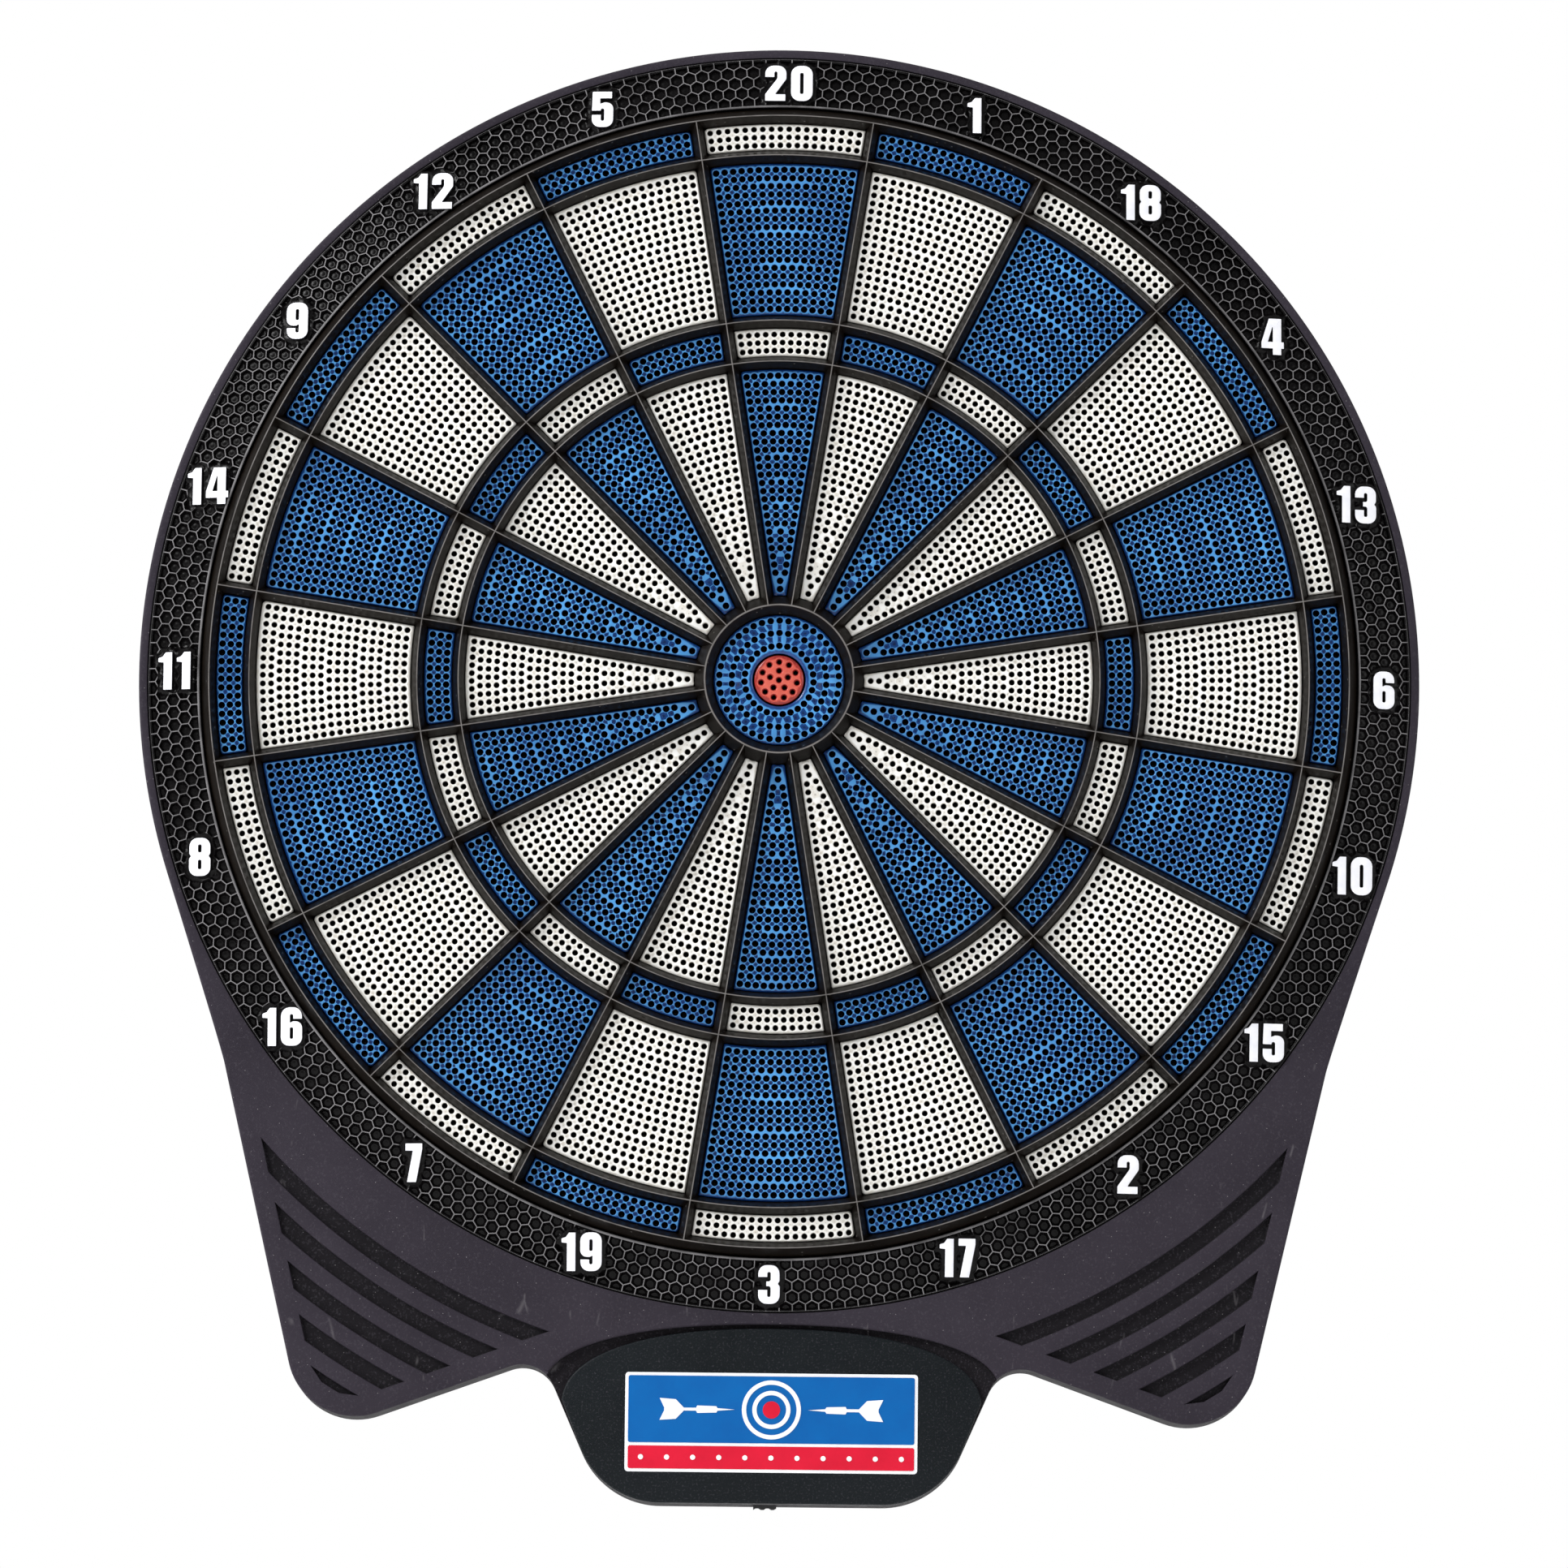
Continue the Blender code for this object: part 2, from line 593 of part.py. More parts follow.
def build_circuit():
    """The circuit board with its slide switch, and the flat cable from the switch film."""
    board = plate("circuit_board", [box(BOARD_CENTRE, BOARD_HALF_SIZE)], *BOARD_DEPTHS)
    board_edge = BOARD_CENTRE.y - BOARD_HALF_SIZE.y
    cap_top = TAB_CORNER.y + WALL + SWITCH_FLANGE
    switch_front = SWITCH_DEPTHS[1] + SWITCH_BODY_MARGIN
    switch_back = BOARD_DEPTHS[0] + SWITCH_BODY_STEP
    switch_middle = Vector((0.0, (board_edge + cap_top) / 2 + SWITCH_BODY_MARGIN))
    switch_height = board_edge - cap_top + 2 * SWITCH_BODY_OVERLAP
    switch_half = Vector((SWITCH_BODY_HALF_WIDTH, switch_height / 2))
    switch_body = plate("switch", [box(switch_middle, switch_half)], switch_back, switch_front)
    finish(combine(board, "UNION", switch_body), "circuit_laminate")

    film_back = SWITCH_MATRIX[0] - GAP
    run_front = BACKING_BOARD[0] - 2 * GAP
    run_back = run_front - RIBBON_THICKNESS
    board_back = BOARD_DEPTHS[0] - GAP
    top = RIBBON_SLOT[1] - RIBBON_TOP_MARGIN
    fold = (RIBBON_SLOT[0] + RIBBON_SLOT[1]) / 2
    board_top = BOARD_CENTRE.y + BOARD_HALF_SIZE.y
    step = board_top + RIBBON_BEND
    last = board_top - RIBBON_TAIL
    thick = RIBBON_THICKNESS
    section = [
        (film_back, top),
        (film_back, fold - thick),
        (run_front, fold - thick),
        (run_front, step),
        (board_back, step - thick),
        (board_back, last),
        (board_back - thick, last),
        (board_back - thick, step),
        (run_back, step + thick),
        (run_back, fold),
        (film_back - thick, fold),
        (film_back - thick, top),
    ]
    outline = [Vector((depth, z)) for depth, z in section]
    cable = plate("ribbon_cable", [outline], -RIBBON_HALF_WIDTH, RIBBON_HALF_WIDTH)
    cable.data.transform(Matrix.Rotation(-math.pi / 2, 4, "Z"))
    finish(cable, "matrix_film")


def build_speaker():
    edge = circle(SPEAKER_RADIUS, SMALL_CIRCLE_STEPS, SPEAKER_CENTRE)
    finish(plate("speaker", [edge], *SPEAKER_DEPTHS), "speaker_metal", smooth=True)


def build_power():
    """Three cells, the plate that joins their ends, and the door that lifts off behind them."""
    bay_top = BAY_CENTRE.y + BAY_HALF_SIZE.y
    cell_top = bay_top - CONTACT_THICKNESS - 3 * GAP
    for i in range(CELL_COUNT):
        x = BAY_CENTRE.x + (i - (CELL_COUNT - 1) / 2) * CELL_PITCH
        middle = (x, -CELL_DEPTH, cell_top - CELL_LENGTH / 2)
        cell = rod(f"battery_{i + 1}", CELL_RADIUS, CELL_LENGTH, middle, steps=CELL_STEPS)
        finish(cell, "cell_sleeve", smooth=True)
    contact_centre = Vector((BAY_CENTRE.x, bay_top - GAP - CONTACT_THICKNESS / 2))
    contact_half = Vector((BAY_HALF_SIZE.x - GAP, CONTACT_THICKNESS / 2))
    contact_depths = (CELL_DEPTH - CELL_RADIUS, CELL_DEPTH + CELL_RADIUS)
    contact = plate("battery_contact_plate", [box(contact_centre, contact_half)], *contact_depths)
    finish(contact, "contact_nickel")
    door_half = BAY_HALF_SIZE - Vector((GAP, GAP))
    door = plate("battery_door", [box(BAY_CENTRE, door_half)], *DOOR_DEPTHS)
    finish(door, "housing_plastic")
    move_origin(door, Vector((BAY_CENTRE.x, 0.0, BAY_CENTRE.y)))


def switch_centre():
    """The power switch rests half its travel to the left of the board's centre line."""
    return Vector((-SWITCH_TRAVEL / 2, TAB_CORNER.y))


def build_power_switch():
    """The cap of the slide switch, which stands out below the tab through a slot."""
    top = TAB_CORNER.y + WALL + SWITCH_FLANGE
    bottom = TAB_CORNER.y - SWITCH_PROTRUSION
    x = switch_centre().x
    cap_half = Vector((SWITCH_CAP_HALF_WIDTH, (top - bottom) / 2))
    cap = plate("power_switch", [box(Vector((x, (top + bottom) / 2)), cap_half)], *SWITCH_DEPTHS)
    flange_half_width = SWITCH_CAP_HALF_WIDTH + SWITCH_FLANGE_OVERHANG
    flange_half = Vector((flange_half_width, (SWITCH_FLANGE - GAP) / 2))
    flange_centre = Vector((x, top - flange_half.y))
    flange_back = SWITCH_DEPTHS[0] - SWITCH_FLANGE_STEP
    flange_front = SWITCH_DEPTHS[1] + SWITCH_FLANGE_STEP
    flange = plate("flange", [box(flange_centre, flange_half)], flange_back, flange_front)
    finish(combine(cap, "UNION", flange), "switch_plastic")
    move_origin(cap, Vector((x, -sum(SWITCH_DEPTHS) / 2, TAB_CORNER.y)))


# Casing


def build_number_ring():
    profile = [
        (RING_OUTER, RING_OUTER_FRONT),
        (RING_OUTER, RING_BACK),
        (RING_STEP_RADIUS, RING_BACK),
        (RING_STEP_RADIUS, RING_STEP_BACK),
        (RING_INNER, RING_STEP_BACK),
        (RING_INNER, RING_INNER_FRONT),
    ]
    finish(turned("number_ring", profile), "ring_plastic", smooth=True)


def build_front_housing():
    """Face, side wall, the seat for the number ring and the screw bosses, as one moulding.

    Its many flush faces leave gaps with the exact solver, so it uses the manifold one.
    """
    outline = housing_outline()
    housing = plate("front_housing", [outline, circle(HOUSING_OPENING)], 0.0, HOUSING_FRONT)
    hollow = plate("hollow", [inset(outline, WALL)], -CUT_PAST, HOUSING_FACE_BACK)
    combine(housing, "DIFFERENCE", hollow, solver="MANIFOLD")
    seat = turned(
        "seat",
        [
            (SEAT_WALL[1], HOUSING_FACE_BACK + THIN_FUSE),
            (SEAT_WALL[1], SEAT_BACK),
            (SEAT_INNER, SEAT_BACK),
            (SEAT_INNER, SEAT_FRONT),
            (SEAT_WALL[0], SEAT_FRONT),
            (SEAT_WALL[0], HOUSING_FACE_BACK + THIN_FUSE),
        ],
    )
    combine(housing, "UNION", seat, solver="MANIFOLD")
    boss_back = COVER_FRONT + GAP
    ring_centres = [polar(BOSS_CIRCLE, angle) for angle in BOSS_ANGLES]
    apron_centres = APRON_BOSSES + mirrored(APRON_BOSSES)
    boss_groups = (
        (ring_centres, SEAT_BACK + FUSE),
        (apron_centres, HOUSING_FACE_BACK + THIN_FUSE),
    )
    for centres, boss_front in boss_groups:
        edges = [circle(BOSS_RADIUS, BOSS_STEPS, centre) for centre in centres]
        bosses = plate("bosses", edges, boss_back, boss_front)
        combine(housing, "UNION", bosses, solver="MANIFOLD")

    above = HOUSING_FRONT + CUT_PAST
    field = groove_field()
    right_grooves = [groove(field, index) for index in range(GROOVE_COUNT)]
    left_grooves = [mirrored(edge) for edge in right_grooves]
    groove_back = HOUSING_FRONT - GROOVE_DEPTH
    grooves = plate("grooves", right_grooves + left_grooves, groove_back, above)
    recess = plate("recess", [badge_recess()], BADGE_RECESS, above)
    slot_half = Vector((SWITCH_CAP_HALF_WIDTH + SWITCH_TRAVEL / 2 + GAP, 2 * WALL))
    slot_depths = (SWITCH_DEPTHS[0] - GAP, SWITCH_DEPTHS[1] + GAP)
    slot = plate("slot", [box(Vector((0.0, TAB_CORNER.y)), slot_half)], *slot_depths)
    combine(housing, "DIFFERENCE", grooves, recess, slot, solver="MANIFOLD")
    finish(housing, "housing_plastic")


def build_badge():
    """The flat panel on the tab, and the printed label stuck to it."""
    panel = plate("badge_panel", [badge_outline()], BADGE_RECESS + GAP, BADGE_FRONT)
    finish(panel, "badge_plastic")
    half_size = Vector(LABEL_SIZE) / 2
    edge = rounded_box(LABEL_CENTRE, half_size, LABEL_CORNER, 2)
    label_back = BADGE_FRONT + GAP
    label = plate("badge_label", [edge], label_back, label_back + LABEL_THICKNESS)
    finish(label, "label_print")


def build_rear_cover():
    """Back plate with hooded keyholes, a grille, the battery bay and a ring that backs the target.

    The exact solver leaves open edges at its keyholes, so it uses the manifold one.
    """
    outline = inset(housing_outline(), WALL + GAP)
    slots = [grille_slot(i) for i in range(GRILLE_SLOTS)]
    cover = plate("rear_cover", [outline] + slots, 0.0, COVER_FRONT)
    overlap = COVER_FRONT - THIN_FUSE
    ring_loops = [circle(radius, SMALL_CIRCLE_STEPS) for radius in reversed(SUPPORT_RING)]
    support = plate("support", ring_loops, overlap, BACKING_BOARD[0] - GAP)
    collar_radii = (SPEAKER_RADIUS + GAP + COLLAR_WALL, SPEAKER_RADIUS + GAP)
    collar_loops = [circle(r, SMALL_CIRCLE_STEPS, SPEAKER_CENTRE) for r in collar_radii]
    collar = plate("collar", collar_loops, overlap, COLLAR_FRONT)
    wall_half = BAY_HALF_SIZE + Vector((BAY_WALL, BAY_WALL))
    bay = plate("bay", [box(BAY_CENTRE, wall_half)], overlap, BAY_DEPTH + BAY_WALL)
    hood_wall = Vector((HOOD_WALL, HOOD_WALL))
    hood_loops = [box(c + HOOD_OFFSET, HOOD_HALF_SIZE + hood_wall) for c in KEYHOLE_CENTRES]
    hoods = plate("hoods", hood_loops, overlap, BACKING_BOARD[0] - GAP)
    combine(cover, "UNION", support, collar, bay, hoods, solver="MANIFOLD")
    hollow = plate("hollow", [box(BAY_CENTRE, BAY_HALF_SIZE)], -CUT_PAST, BAY_DEPTH)
    room_loops = [box(c + HOOD_OFFSET, HOOD_HALF_SIZE) for c in KEYHOLE_CENTRES]
    rooms = plate("rooms", room_loops, COVER_FRONT, HOOD_DEPTH)
    keyholes = plate("keyholes", [keyhole(c) for c in KEYHOLE_CENTRES], -CUT_PAST, HOOD_DEPTH - FUSE)
    combine(cover, "DIFFERENCE", hollow, rooms, keyholes, solver="MANIFOLD")
    finish(cover, "housing_plastic")


clear_scene()
PARTS = bpy.data.collections.new("electronic_dartboard")
bpy.context.scene.collection.children.link(PARTS)
BOARD = bpy.data.objects.new("board_origin", None)
PARTS.objects.link(BOARD)
MATERIALS = {slot: make_material(slot) for slot in COLOURS}

build_segments()
build_bulls()
build_spider()
build_layers()
build_circuit()
build_speaker()
build_power()
build_power_switch()
build_number_ring()
build_front_housing()
build_badge()
build_rear_cover()
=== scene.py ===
"""Looks of the wall-hung electronic dartboard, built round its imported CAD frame.

Same frame as the CAD: +Z is up, the front faces -Y, and the origin lies on the wall plane straight behind
the bull. A depth is a distance in front of that plane, so a point at depth d has y = -d. Flat outlines are
lists of (x, z) points, and an angle is measured clockwise from the top of the board.
"""

import math

import bmesh
import bpy
from mathutils import Matrix, Vector
from mathutils.geometry import delaunay_2d_cdt


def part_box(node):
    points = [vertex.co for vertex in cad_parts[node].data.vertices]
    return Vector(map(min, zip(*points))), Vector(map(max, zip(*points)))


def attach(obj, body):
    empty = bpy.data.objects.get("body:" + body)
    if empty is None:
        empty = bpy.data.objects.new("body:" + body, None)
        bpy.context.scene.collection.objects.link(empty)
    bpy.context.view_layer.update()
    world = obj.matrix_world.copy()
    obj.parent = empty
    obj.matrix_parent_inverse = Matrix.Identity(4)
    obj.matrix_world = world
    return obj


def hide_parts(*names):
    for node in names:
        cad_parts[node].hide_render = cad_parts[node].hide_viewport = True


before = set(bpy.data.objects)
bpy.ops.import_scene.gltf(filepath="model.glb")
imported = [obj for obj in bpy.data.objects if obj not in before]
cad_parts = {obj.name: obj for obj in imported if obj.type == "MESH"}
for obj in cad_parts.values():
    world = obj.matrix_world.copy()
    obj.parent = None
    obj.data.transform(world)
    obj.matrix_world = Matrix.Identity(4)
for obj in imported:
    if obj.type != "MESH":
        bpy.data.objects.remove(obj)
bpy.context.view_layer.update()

MM = 0.001


def mm(*sizes):
    return tuple(size * MM for size in sizes)


def metres(*points):
    """A profile or table of pairs that is given in millimetres."""
    return [mm(*point) for point in points]


def front_of(node):
    return -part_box(node)[0].y


def back_of(node):
    return -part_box(node)[1].y


# Floor, lights and camera, in metres
FLOOR_HALF = 6.0
FLOOR_LEVEL = -0.75
# Name, place, width and power of each softbox
SOFTBOXES = (
    ("key", (-2.4, -2.4, 2.2), 1.0, 88),
    ("side", (-3.2, -0.7, 1.2), 1.6, 70),
    ("fill", (2.6, -2.2, 0.6), 1.2, 14),
    ("back", (0.6, 2.6, 1.2), 1.6, 60),
)
CAMERA_LENS = 265.2
CAMERA_AIM = Vector((2.1, -34.0, -36.8)) * MM
CAMERA_DISTANCE = 4.0
CAMERA_FROM_RIGHT = math.radians(0.1)
CAMERA_FROM_BELOW = math.radians(6.3)
CAMERA_ROLL = math.radians(0.6)

# Target layout
NUMBERS = (20, 1, 18, 4, 13, 6, 10, 15, 2, 17, 3, 19, 7, 16, 8, 11, 14, 9, 12, 5)
SECTOR = math.tau / len(NUMBERS)
ARC_STEPS = 16
ROUND_STEPS = ARC_STEPS * len(NUMBERS)
HALF_SPOKE = 2.4 * MM
INNER_SINGLE_RING = mm(29.6, 108.9)
TREBLE_RING = mm(113.6, 123.2)
OUTER_SINGLE_RING = mm(128.0, 181.4)
DOUBLE_RING = mm(186.2, 195.3)
OUTER_BULL_RING = mm(9.2, 22.7)
BULLSEYE_RADIUS = 8.6 * MM

# Depths that the CAD frame gives
SEGMENT_FRONT = front_of("bullseye")
SEGMENT_BACK = 21.5 * MM
WEB_BACK = back_of("single_20")
WEB_FRONT = 20.0 * MM
SPIDER_FRONT = front_of("spider")
HOUSING_FRONT = front_of("front_housing")
COVER_FRONT = 2.4 * MM
BADGE_BACK = back_of("badge_panel")
BADGE_FRONT = front_of("badge_panel")

# Segment faces
HOLE_STEPS = 12
BLUE_HOLE = 1.08 * MM
WHITE_HOLE = 0.97 * MM
RED_HOLE = 0.78 * MM
HOLE_DEPTH = 6.0 * MM
FUNNEL_DEPTH = 0.75 * MM
RIM_RADIUS = 1.34 * MM
NARROW_RIM_RADIUS = 1.29 * MM
RIM_EDGE = 0.2 * MM
RIM_DROP = 0.1 * MM
LEAST_WALL = 0.06 * MM
HOLLOW_DEPTH = 0.75 * MM
EDGE_DROP = 0.15 * MM
EDGE_CHAMFER = 0.3 * MM
ROW_PITCH = 2.88 * MM
NARROW_ROW_PITCH = 2.85 * MM
ROW_MARGIN = 2.2 * MM
SIDE_MARGIN = 1.85 * MM
HOLLOW_CLEAR = 0.2 * MM
NARROW_ROWS = 3
SINGLE_PITCHES = mm(2.74, 2.9)
MULTIPLE_PITCHES = mm(2.8, 2.98)
SHARP_CORNER = 0.35 * MM
SOFT_CORNER = 0.6 * MM
ROUND_CORNER = 0.8 * MM
KEY_CORNER = 1.3 * MM

# Bulls: radius of each circle and how many holes or hollows it has
BULL_HOLES = ((12.0 * MM, 27), (16.45 * MM, 34), (20.8 * MM, 42))
BULL_HOLLOWS = ((14.25 * MM, 30), (18.6 * MM, 38))
BULLSEYE_HOLES = ((3.25 * MM, 5), (6.3 * MM, 11))
BULL_STEPS = 96
SMALL_STEPS = 64
PART_STEPS = 40

# Webs that join the two segments of a number behind the target
WEB_OFFSET = 5.0 * MM
WEB_HALF_WIDTH = 2.5 * MM
WEB_OVERRUN = 0.5 * MM
FOOT_HALF_WIDTH = 2.0 * MM
SINGLE_FEET = metres((100.0, 107.0), (130.0, 137.0))
MULTIPLE_FEET = metres((116.0, 121.5), (187.5, 193.0))

# Spider: ridges of the roof-shaped ribs
RIDGES = mm(25.8, 111.25, 125.6, 183.8, 197.7)
RIB_HALF = 2.1 * MM
BULL_RIB_INSIDE = 2.8 * MM
BULL_RIB_OUTSIDE = 3.5 * MM
SPIDER_BACK = 21.0 * MM
# Share of the half width, and share of the way down from the ridge to the segments
RIB_PROFILE = ((0.0, 0.0), (0.09, 0.015), (0.2, 0.1), (0.93, 0.9), (1.0, 1.0))
SPIDER_RIM = metres(
    (197.95, 33.9), (198.2, 33.5), (199.9, 29.9), (200.3, 29.4), (200.5, 28.9),
    (200.5, 23.5), (206.3, 23.5), (206.3, 21.0), (204.0, 21.0), (204.0, 12.3), (199.5, 12.3),
    (199.5, 21.0),
)

# Number ring: a cone of hexagonal cells
RING_INNER = 200.8 * MM
RING_OUTER = 219.3 * MM
RING_INNER_FRONT = 30.0 * MM
RING_OUTER_FRONT = 24.2 * MM
CONE_SLOPE = (RING_OUTER_FRONT - RING_INNER_FRONT) / (RING_OUTER - RING_INNER)
RING_BACK = back_of("number_ring")
RING_STEP_RADIUS = 206.6 * MM
RING_STEP_BACK = 23.8 * MM
# Lips at the ring's edges: distance from the edge, and height above or depth below the cone
INNER_LIP = metres((1.0, 0.1), (1.4, -0.4), (1.6, -2.2))
INNER_LIP_EDGE = mm(0.4, 0.5)
OUTER_LIP = metres((1.0, 2.2), (0.9, 0.2))
OUTER_LIP_EDGE = mm(0.6, 0.3)
CELLS_PER_ROW = 300
CELL_PITCH = math.tau / CELLS_PER_ROW
CELL_ROWS = 5
CELL_REACH = 2.5 * MM
CELL_FIRST_ROW = 203.0 * MM
CELL_BAND = mm(201.5, 219.0)
# Each loop of a cell: share of the hexagon, share of the way to round, and depth below the ridges
CELL_LOOPS = (
    (1.0, 0.0, 0.0),
    (0.93, 0.0, 0.03),
    (0.86, 0.1, 0.4),
    (0.55, 0.8, 1.55),
    (0.28, 1.0, 1.6),
)
CELL_DOME = 1.3
CELL_FLAT = 0.45
CELL_ROUND = 0.9
NUMERAL_CIRCLE = 210.0 * MM
NUMERAL_TWIST = math.radians(0.35)
NUMERAL_HEIGHT = 13.2 * MM
NUMERAL_GAP = 1.6 * MM
NUMERAL_RAISE = 0.9 * MM
NUMERAL_CLEAR = mm(0.9, 2.0)
NUMERAL_REACH = 14.0 * MM
# How far each row of a numeral moves in from its outline, and its height above the cone
STEP_ROWS = (
    (-0.35 * MM, -0.8 * MM), (-0.05 * MM, NUMERAL_RAISE - 0.2 * MM), (0.05 * MM, NUMERAL_RAISE),
)
PAINT_ROWS = (
    (0.02 * MM, NUMERAL_RAISE - 0.15 * MM), (0.04 * MM, NUMERAL_RAISE + 0.02 * MM),
    (0.14 * MM, NUMERAL_RAISE + 0.08 * MM),
)

# Housing outline
HOUSING_RADIUS = 222.5 * MM
HOUSING_OPENING = 219.6 * MM
WALL = 2.6 * MM
FACE_BACK = 20.0 * MM
OPENING_BACK = 16.5 * MM
# The opening's edge: how far it widens, and how far below the face
OPENING_EDGE = metres((0.0, 0.35), (0.12, 0.1), (0.4, 0.0))
SHELF = metres((209.0, 16.5), (209.0, 19.2), (215.0, 19.3))
BACK_EDGE = 0.4 * MM
SMALL_GAP = 0.1 * MM
LIP_ROUND = 0.9 * MM
LEAVING_ANGLE = math.radians(108)
SIDE_START = Vector((190.7, -134.7)) * MM
FOOT_CORNER = Vector((160.9, -264.2)) * MM
VALLEY_CORNER = Vector((79.8, -235.1)) * MM
TAB_CORNER = Vector((57.7, -285.5)) * MM
FOOT_FILLET = 23.5 * MM
VALLEY_FILLET = 12.0 * MM
TAB_FILLET = 29.8 * MM
FILLET_STEPS = 20
CORNER_STEPS = 5

# Wing grooves
GROOVE_COUNT = 5
GROOVE_FIRST_RADIUS = 239.5 * MM
GROOVE_PITCH = 12.0 * MM
GROOVE_WIDTH = 6.1 * MM
GROOVE_DEPTH = 2.2 * MM
GROOVE_EDGE = 0.35 * MM
GROOVE_MARGIN = 7.0 * MM
GROOVE_STEPS = 24
HALVINGS = 40
FOOT_DIRECTION = math.radians(147.7)
GROOVE_SPREADS = (math.radians(-38), math.radians(17))

# Badge panel on the tab, and the valley between it and the apron
BADGE_HALF_WIDTH = 72.5 * MM
BADGE_BASE = -252.0 * MM
BADGE_RISE = 27.0 * MM
BADGE_POWER = 2.3
BADGE_STEPS = 64
BADGE_ROUND = 0.7 * MM
BADGE_ROUND_STEPS = 4
VALLEY_HALF_WIDTH = 78.6 * MM
VALLEY_BASE = -246.5 * MM
VALLEY_RISE = 22.9 * MM
LABEL_SIZE = Vector((101.0, 34.3)) * MM
LABEL_CENTRE = Vector((0.0, -257.6)) * MM
LABEL_BACK = BADGE_FRONT
LABEL_STEP = 0.18 * MM
LABEL_EDGE = 0.05 * MM
LABEL_BORDER = 1.1 * MM
LABEL_STRIP = 7.9 * MM
LABEL_CORNER = 1.2 * MM
FIELD_CORNER = 0.7 * MM
LABEL_RINGS = mm(10.2, 6.6)
LABEL_RING_WIDTH = 1.5 * MM
LABEL_RING_STEPS = 48
LABEL_BULL = 3.0 * MM
DART_PLACE = 12.6 * MM
DOT_RADIUS = 0.9 * MM
DOT_PITCH = 9.0 * MM
DOT_REACH = 5
DOT_STEPS = 16
# One side of the dart on the label, from its point back, in millimetres
DART_SIDE = (
    (0, 0), (6, 0.45), (6.4, 1.1), (13, 1.3), (13.4, 0.5), (17.6, 0.5), (20.4, 3.4), (26, 3.8), (24.4, 0.5),
)

# Rear cover
COVER_INSET = WALL + 0.3 * MM
COVER_EDGE = 0.4 * MM
KEYHOLE_CENTRES = (Vector((-90.0, 120.0)) * MM, Vector((90.0, 120.0)) * MM)
KEYHOLE_ENTRY_HALF = 5.2 * MM
KEYHOLE_SLOT_HALF = 2.6 * MM
KEYHOLE_RISE = 9.0 * MM
HOOD_WALL = Vector((1.4, 1.4)) * MM
HOOD_HALF_SIZE = Vector((5.8, 10.2)) * MM
HOOD_OFFSET = Vector((0.0, 4.4)) * MM
HOOD_DEPTHS = mm(7.3, 8.7)
SUPPORT_RING = mm(166.0, 170.0)
PRESSED_RINGS = metres((123.0, 120.0), (63.0, 60.0))
PRESSED_DEPTH = 0.7 * MM
PRESSED_SPOKES = 16
SPOKE_REACH = mm(68.0, 115.0)
SPOKE_HALF_WIDTH = 1.3 * MM
SCREW_CIRCLE = 213.5 * MM
SCREW_ANGLES = [math.radians(a) for a in (0, 45, 90, 135, 225, 270, 315)]
APRON_SCREWS = [Vector(p) * MM for p in ((165.0, -170.0), (100.0, -227.0), (58.0, -264.0))]
SCREW_WELL = metres((3.6, 0.0), (3.3, 0.3), (3.2, 1.6))
SCREW_HEAD = metres((2.9, 1.58), (2.9, 0.8), (2.2, 0.45))
SCREW_SLOT = mm(1.6, 0.42)
SCREW_DRIVE_DEPTH = 1.2 * MM
SCREW_DRIVE_DRAFT = 0.1 * MM
SCREW_STEPS = 32
# How far each screw's cross is turned on from the one before, in radians
SCREW_TURN = 0.7

# Battery bay, speaker and switch
BAY_CENTRE = Vector((140.0, -213.4)) * MM
BAY_HALF_SIZE = Vector((16.6, 23.8)) * MM
BAY_WALL = 1.5 * MM
BAY_DEPTH = 13.8 * MM
DOOR_HALF_SIZE = Vector((16.3, 23.5)) * MM
DOOR_DEPTHS = mm(0.1, 2.2)
DOOR_CORNER = 0.8 * MM
DOOR_EDGE = 0.3 * MM
THUMB_RADIUS = 5.5 * MM
THUMB_RISE = 13.5 * MM
THUMB_DEPTH = 0.8 * MM
THUMB_DRAFT = 0.9 * MM
GRIP_FIRST = -17.5 * MM
GRIP_CORNER = 0.4 * MM
GRIP_DEPTH = 0.6 * MM
GRIP_DRAFT = 0.2 * MM
GRIP_COUNT = 6
GRIP_PITCH = 2.2 * MM
GRIP_HALF_SIZE = Vector((8.0, 0.55)) * MM
# Radius and place along the cell, from its flat end, in millimetres
CELL_SLEEVE = ((4.4, 0.2), (5.1, 0.2), (5.25, 0.5), (5.25, 31.5))
CELL_CAP = ((5.25, 31.5), (5.25, 43.0), (5.0, 43.3), (2.0, 43.3), (1.9, 44.3), (1.6, 44.5))
SPEAKER_CENTRE = Vector((-140.0, -212.0)) * MM
COLLAR = mm(21.9, 20.3)
COLLAR_FRONT = 9.0 * MM
GRILLE_SLOTS = 5
GRILLE_PITCH = 5.0 * MM
GRILLE_HALF_WIDTH = 1.1 * MM
GRILLE_ROUNDNESS = 0.9
GRILLE_REACH = 16.0 * MM
BASKET = metres((16.9, 3.2), (20.0, 3.2), (20.0, 4.4), (18.4, 4.7), (13.5, 9.6), (13.5, 13.9))
BASKET_INSIDE = metres((16.9, 3.2), (15.9, 4.8), (11.0, 9.0))
CONE = metres(
    (16.8, 3.9), (16.4, 3.4), (15.6, 3.3), (14.9, 3.9), (6.4, 7.6), (5.6, 6.7), (3.4, 6.1), (1.2, 5.9),
)
CONE_THICKNESS = 0.4 * MM
SWITCH_X = mm(-6.0, 2.0)
SWITCH_Z = mm(-287.0, -281.3)
SWITCH_DEPTHS = mm(10.0, 14.0)
SWITCH_TEETH = 4
SWITCH_TOOTH = 0.5 * MM
FLANGE_X = mm(-8.5, 4.5)
FLANGE_Z = mm(-282.6, -281.3)
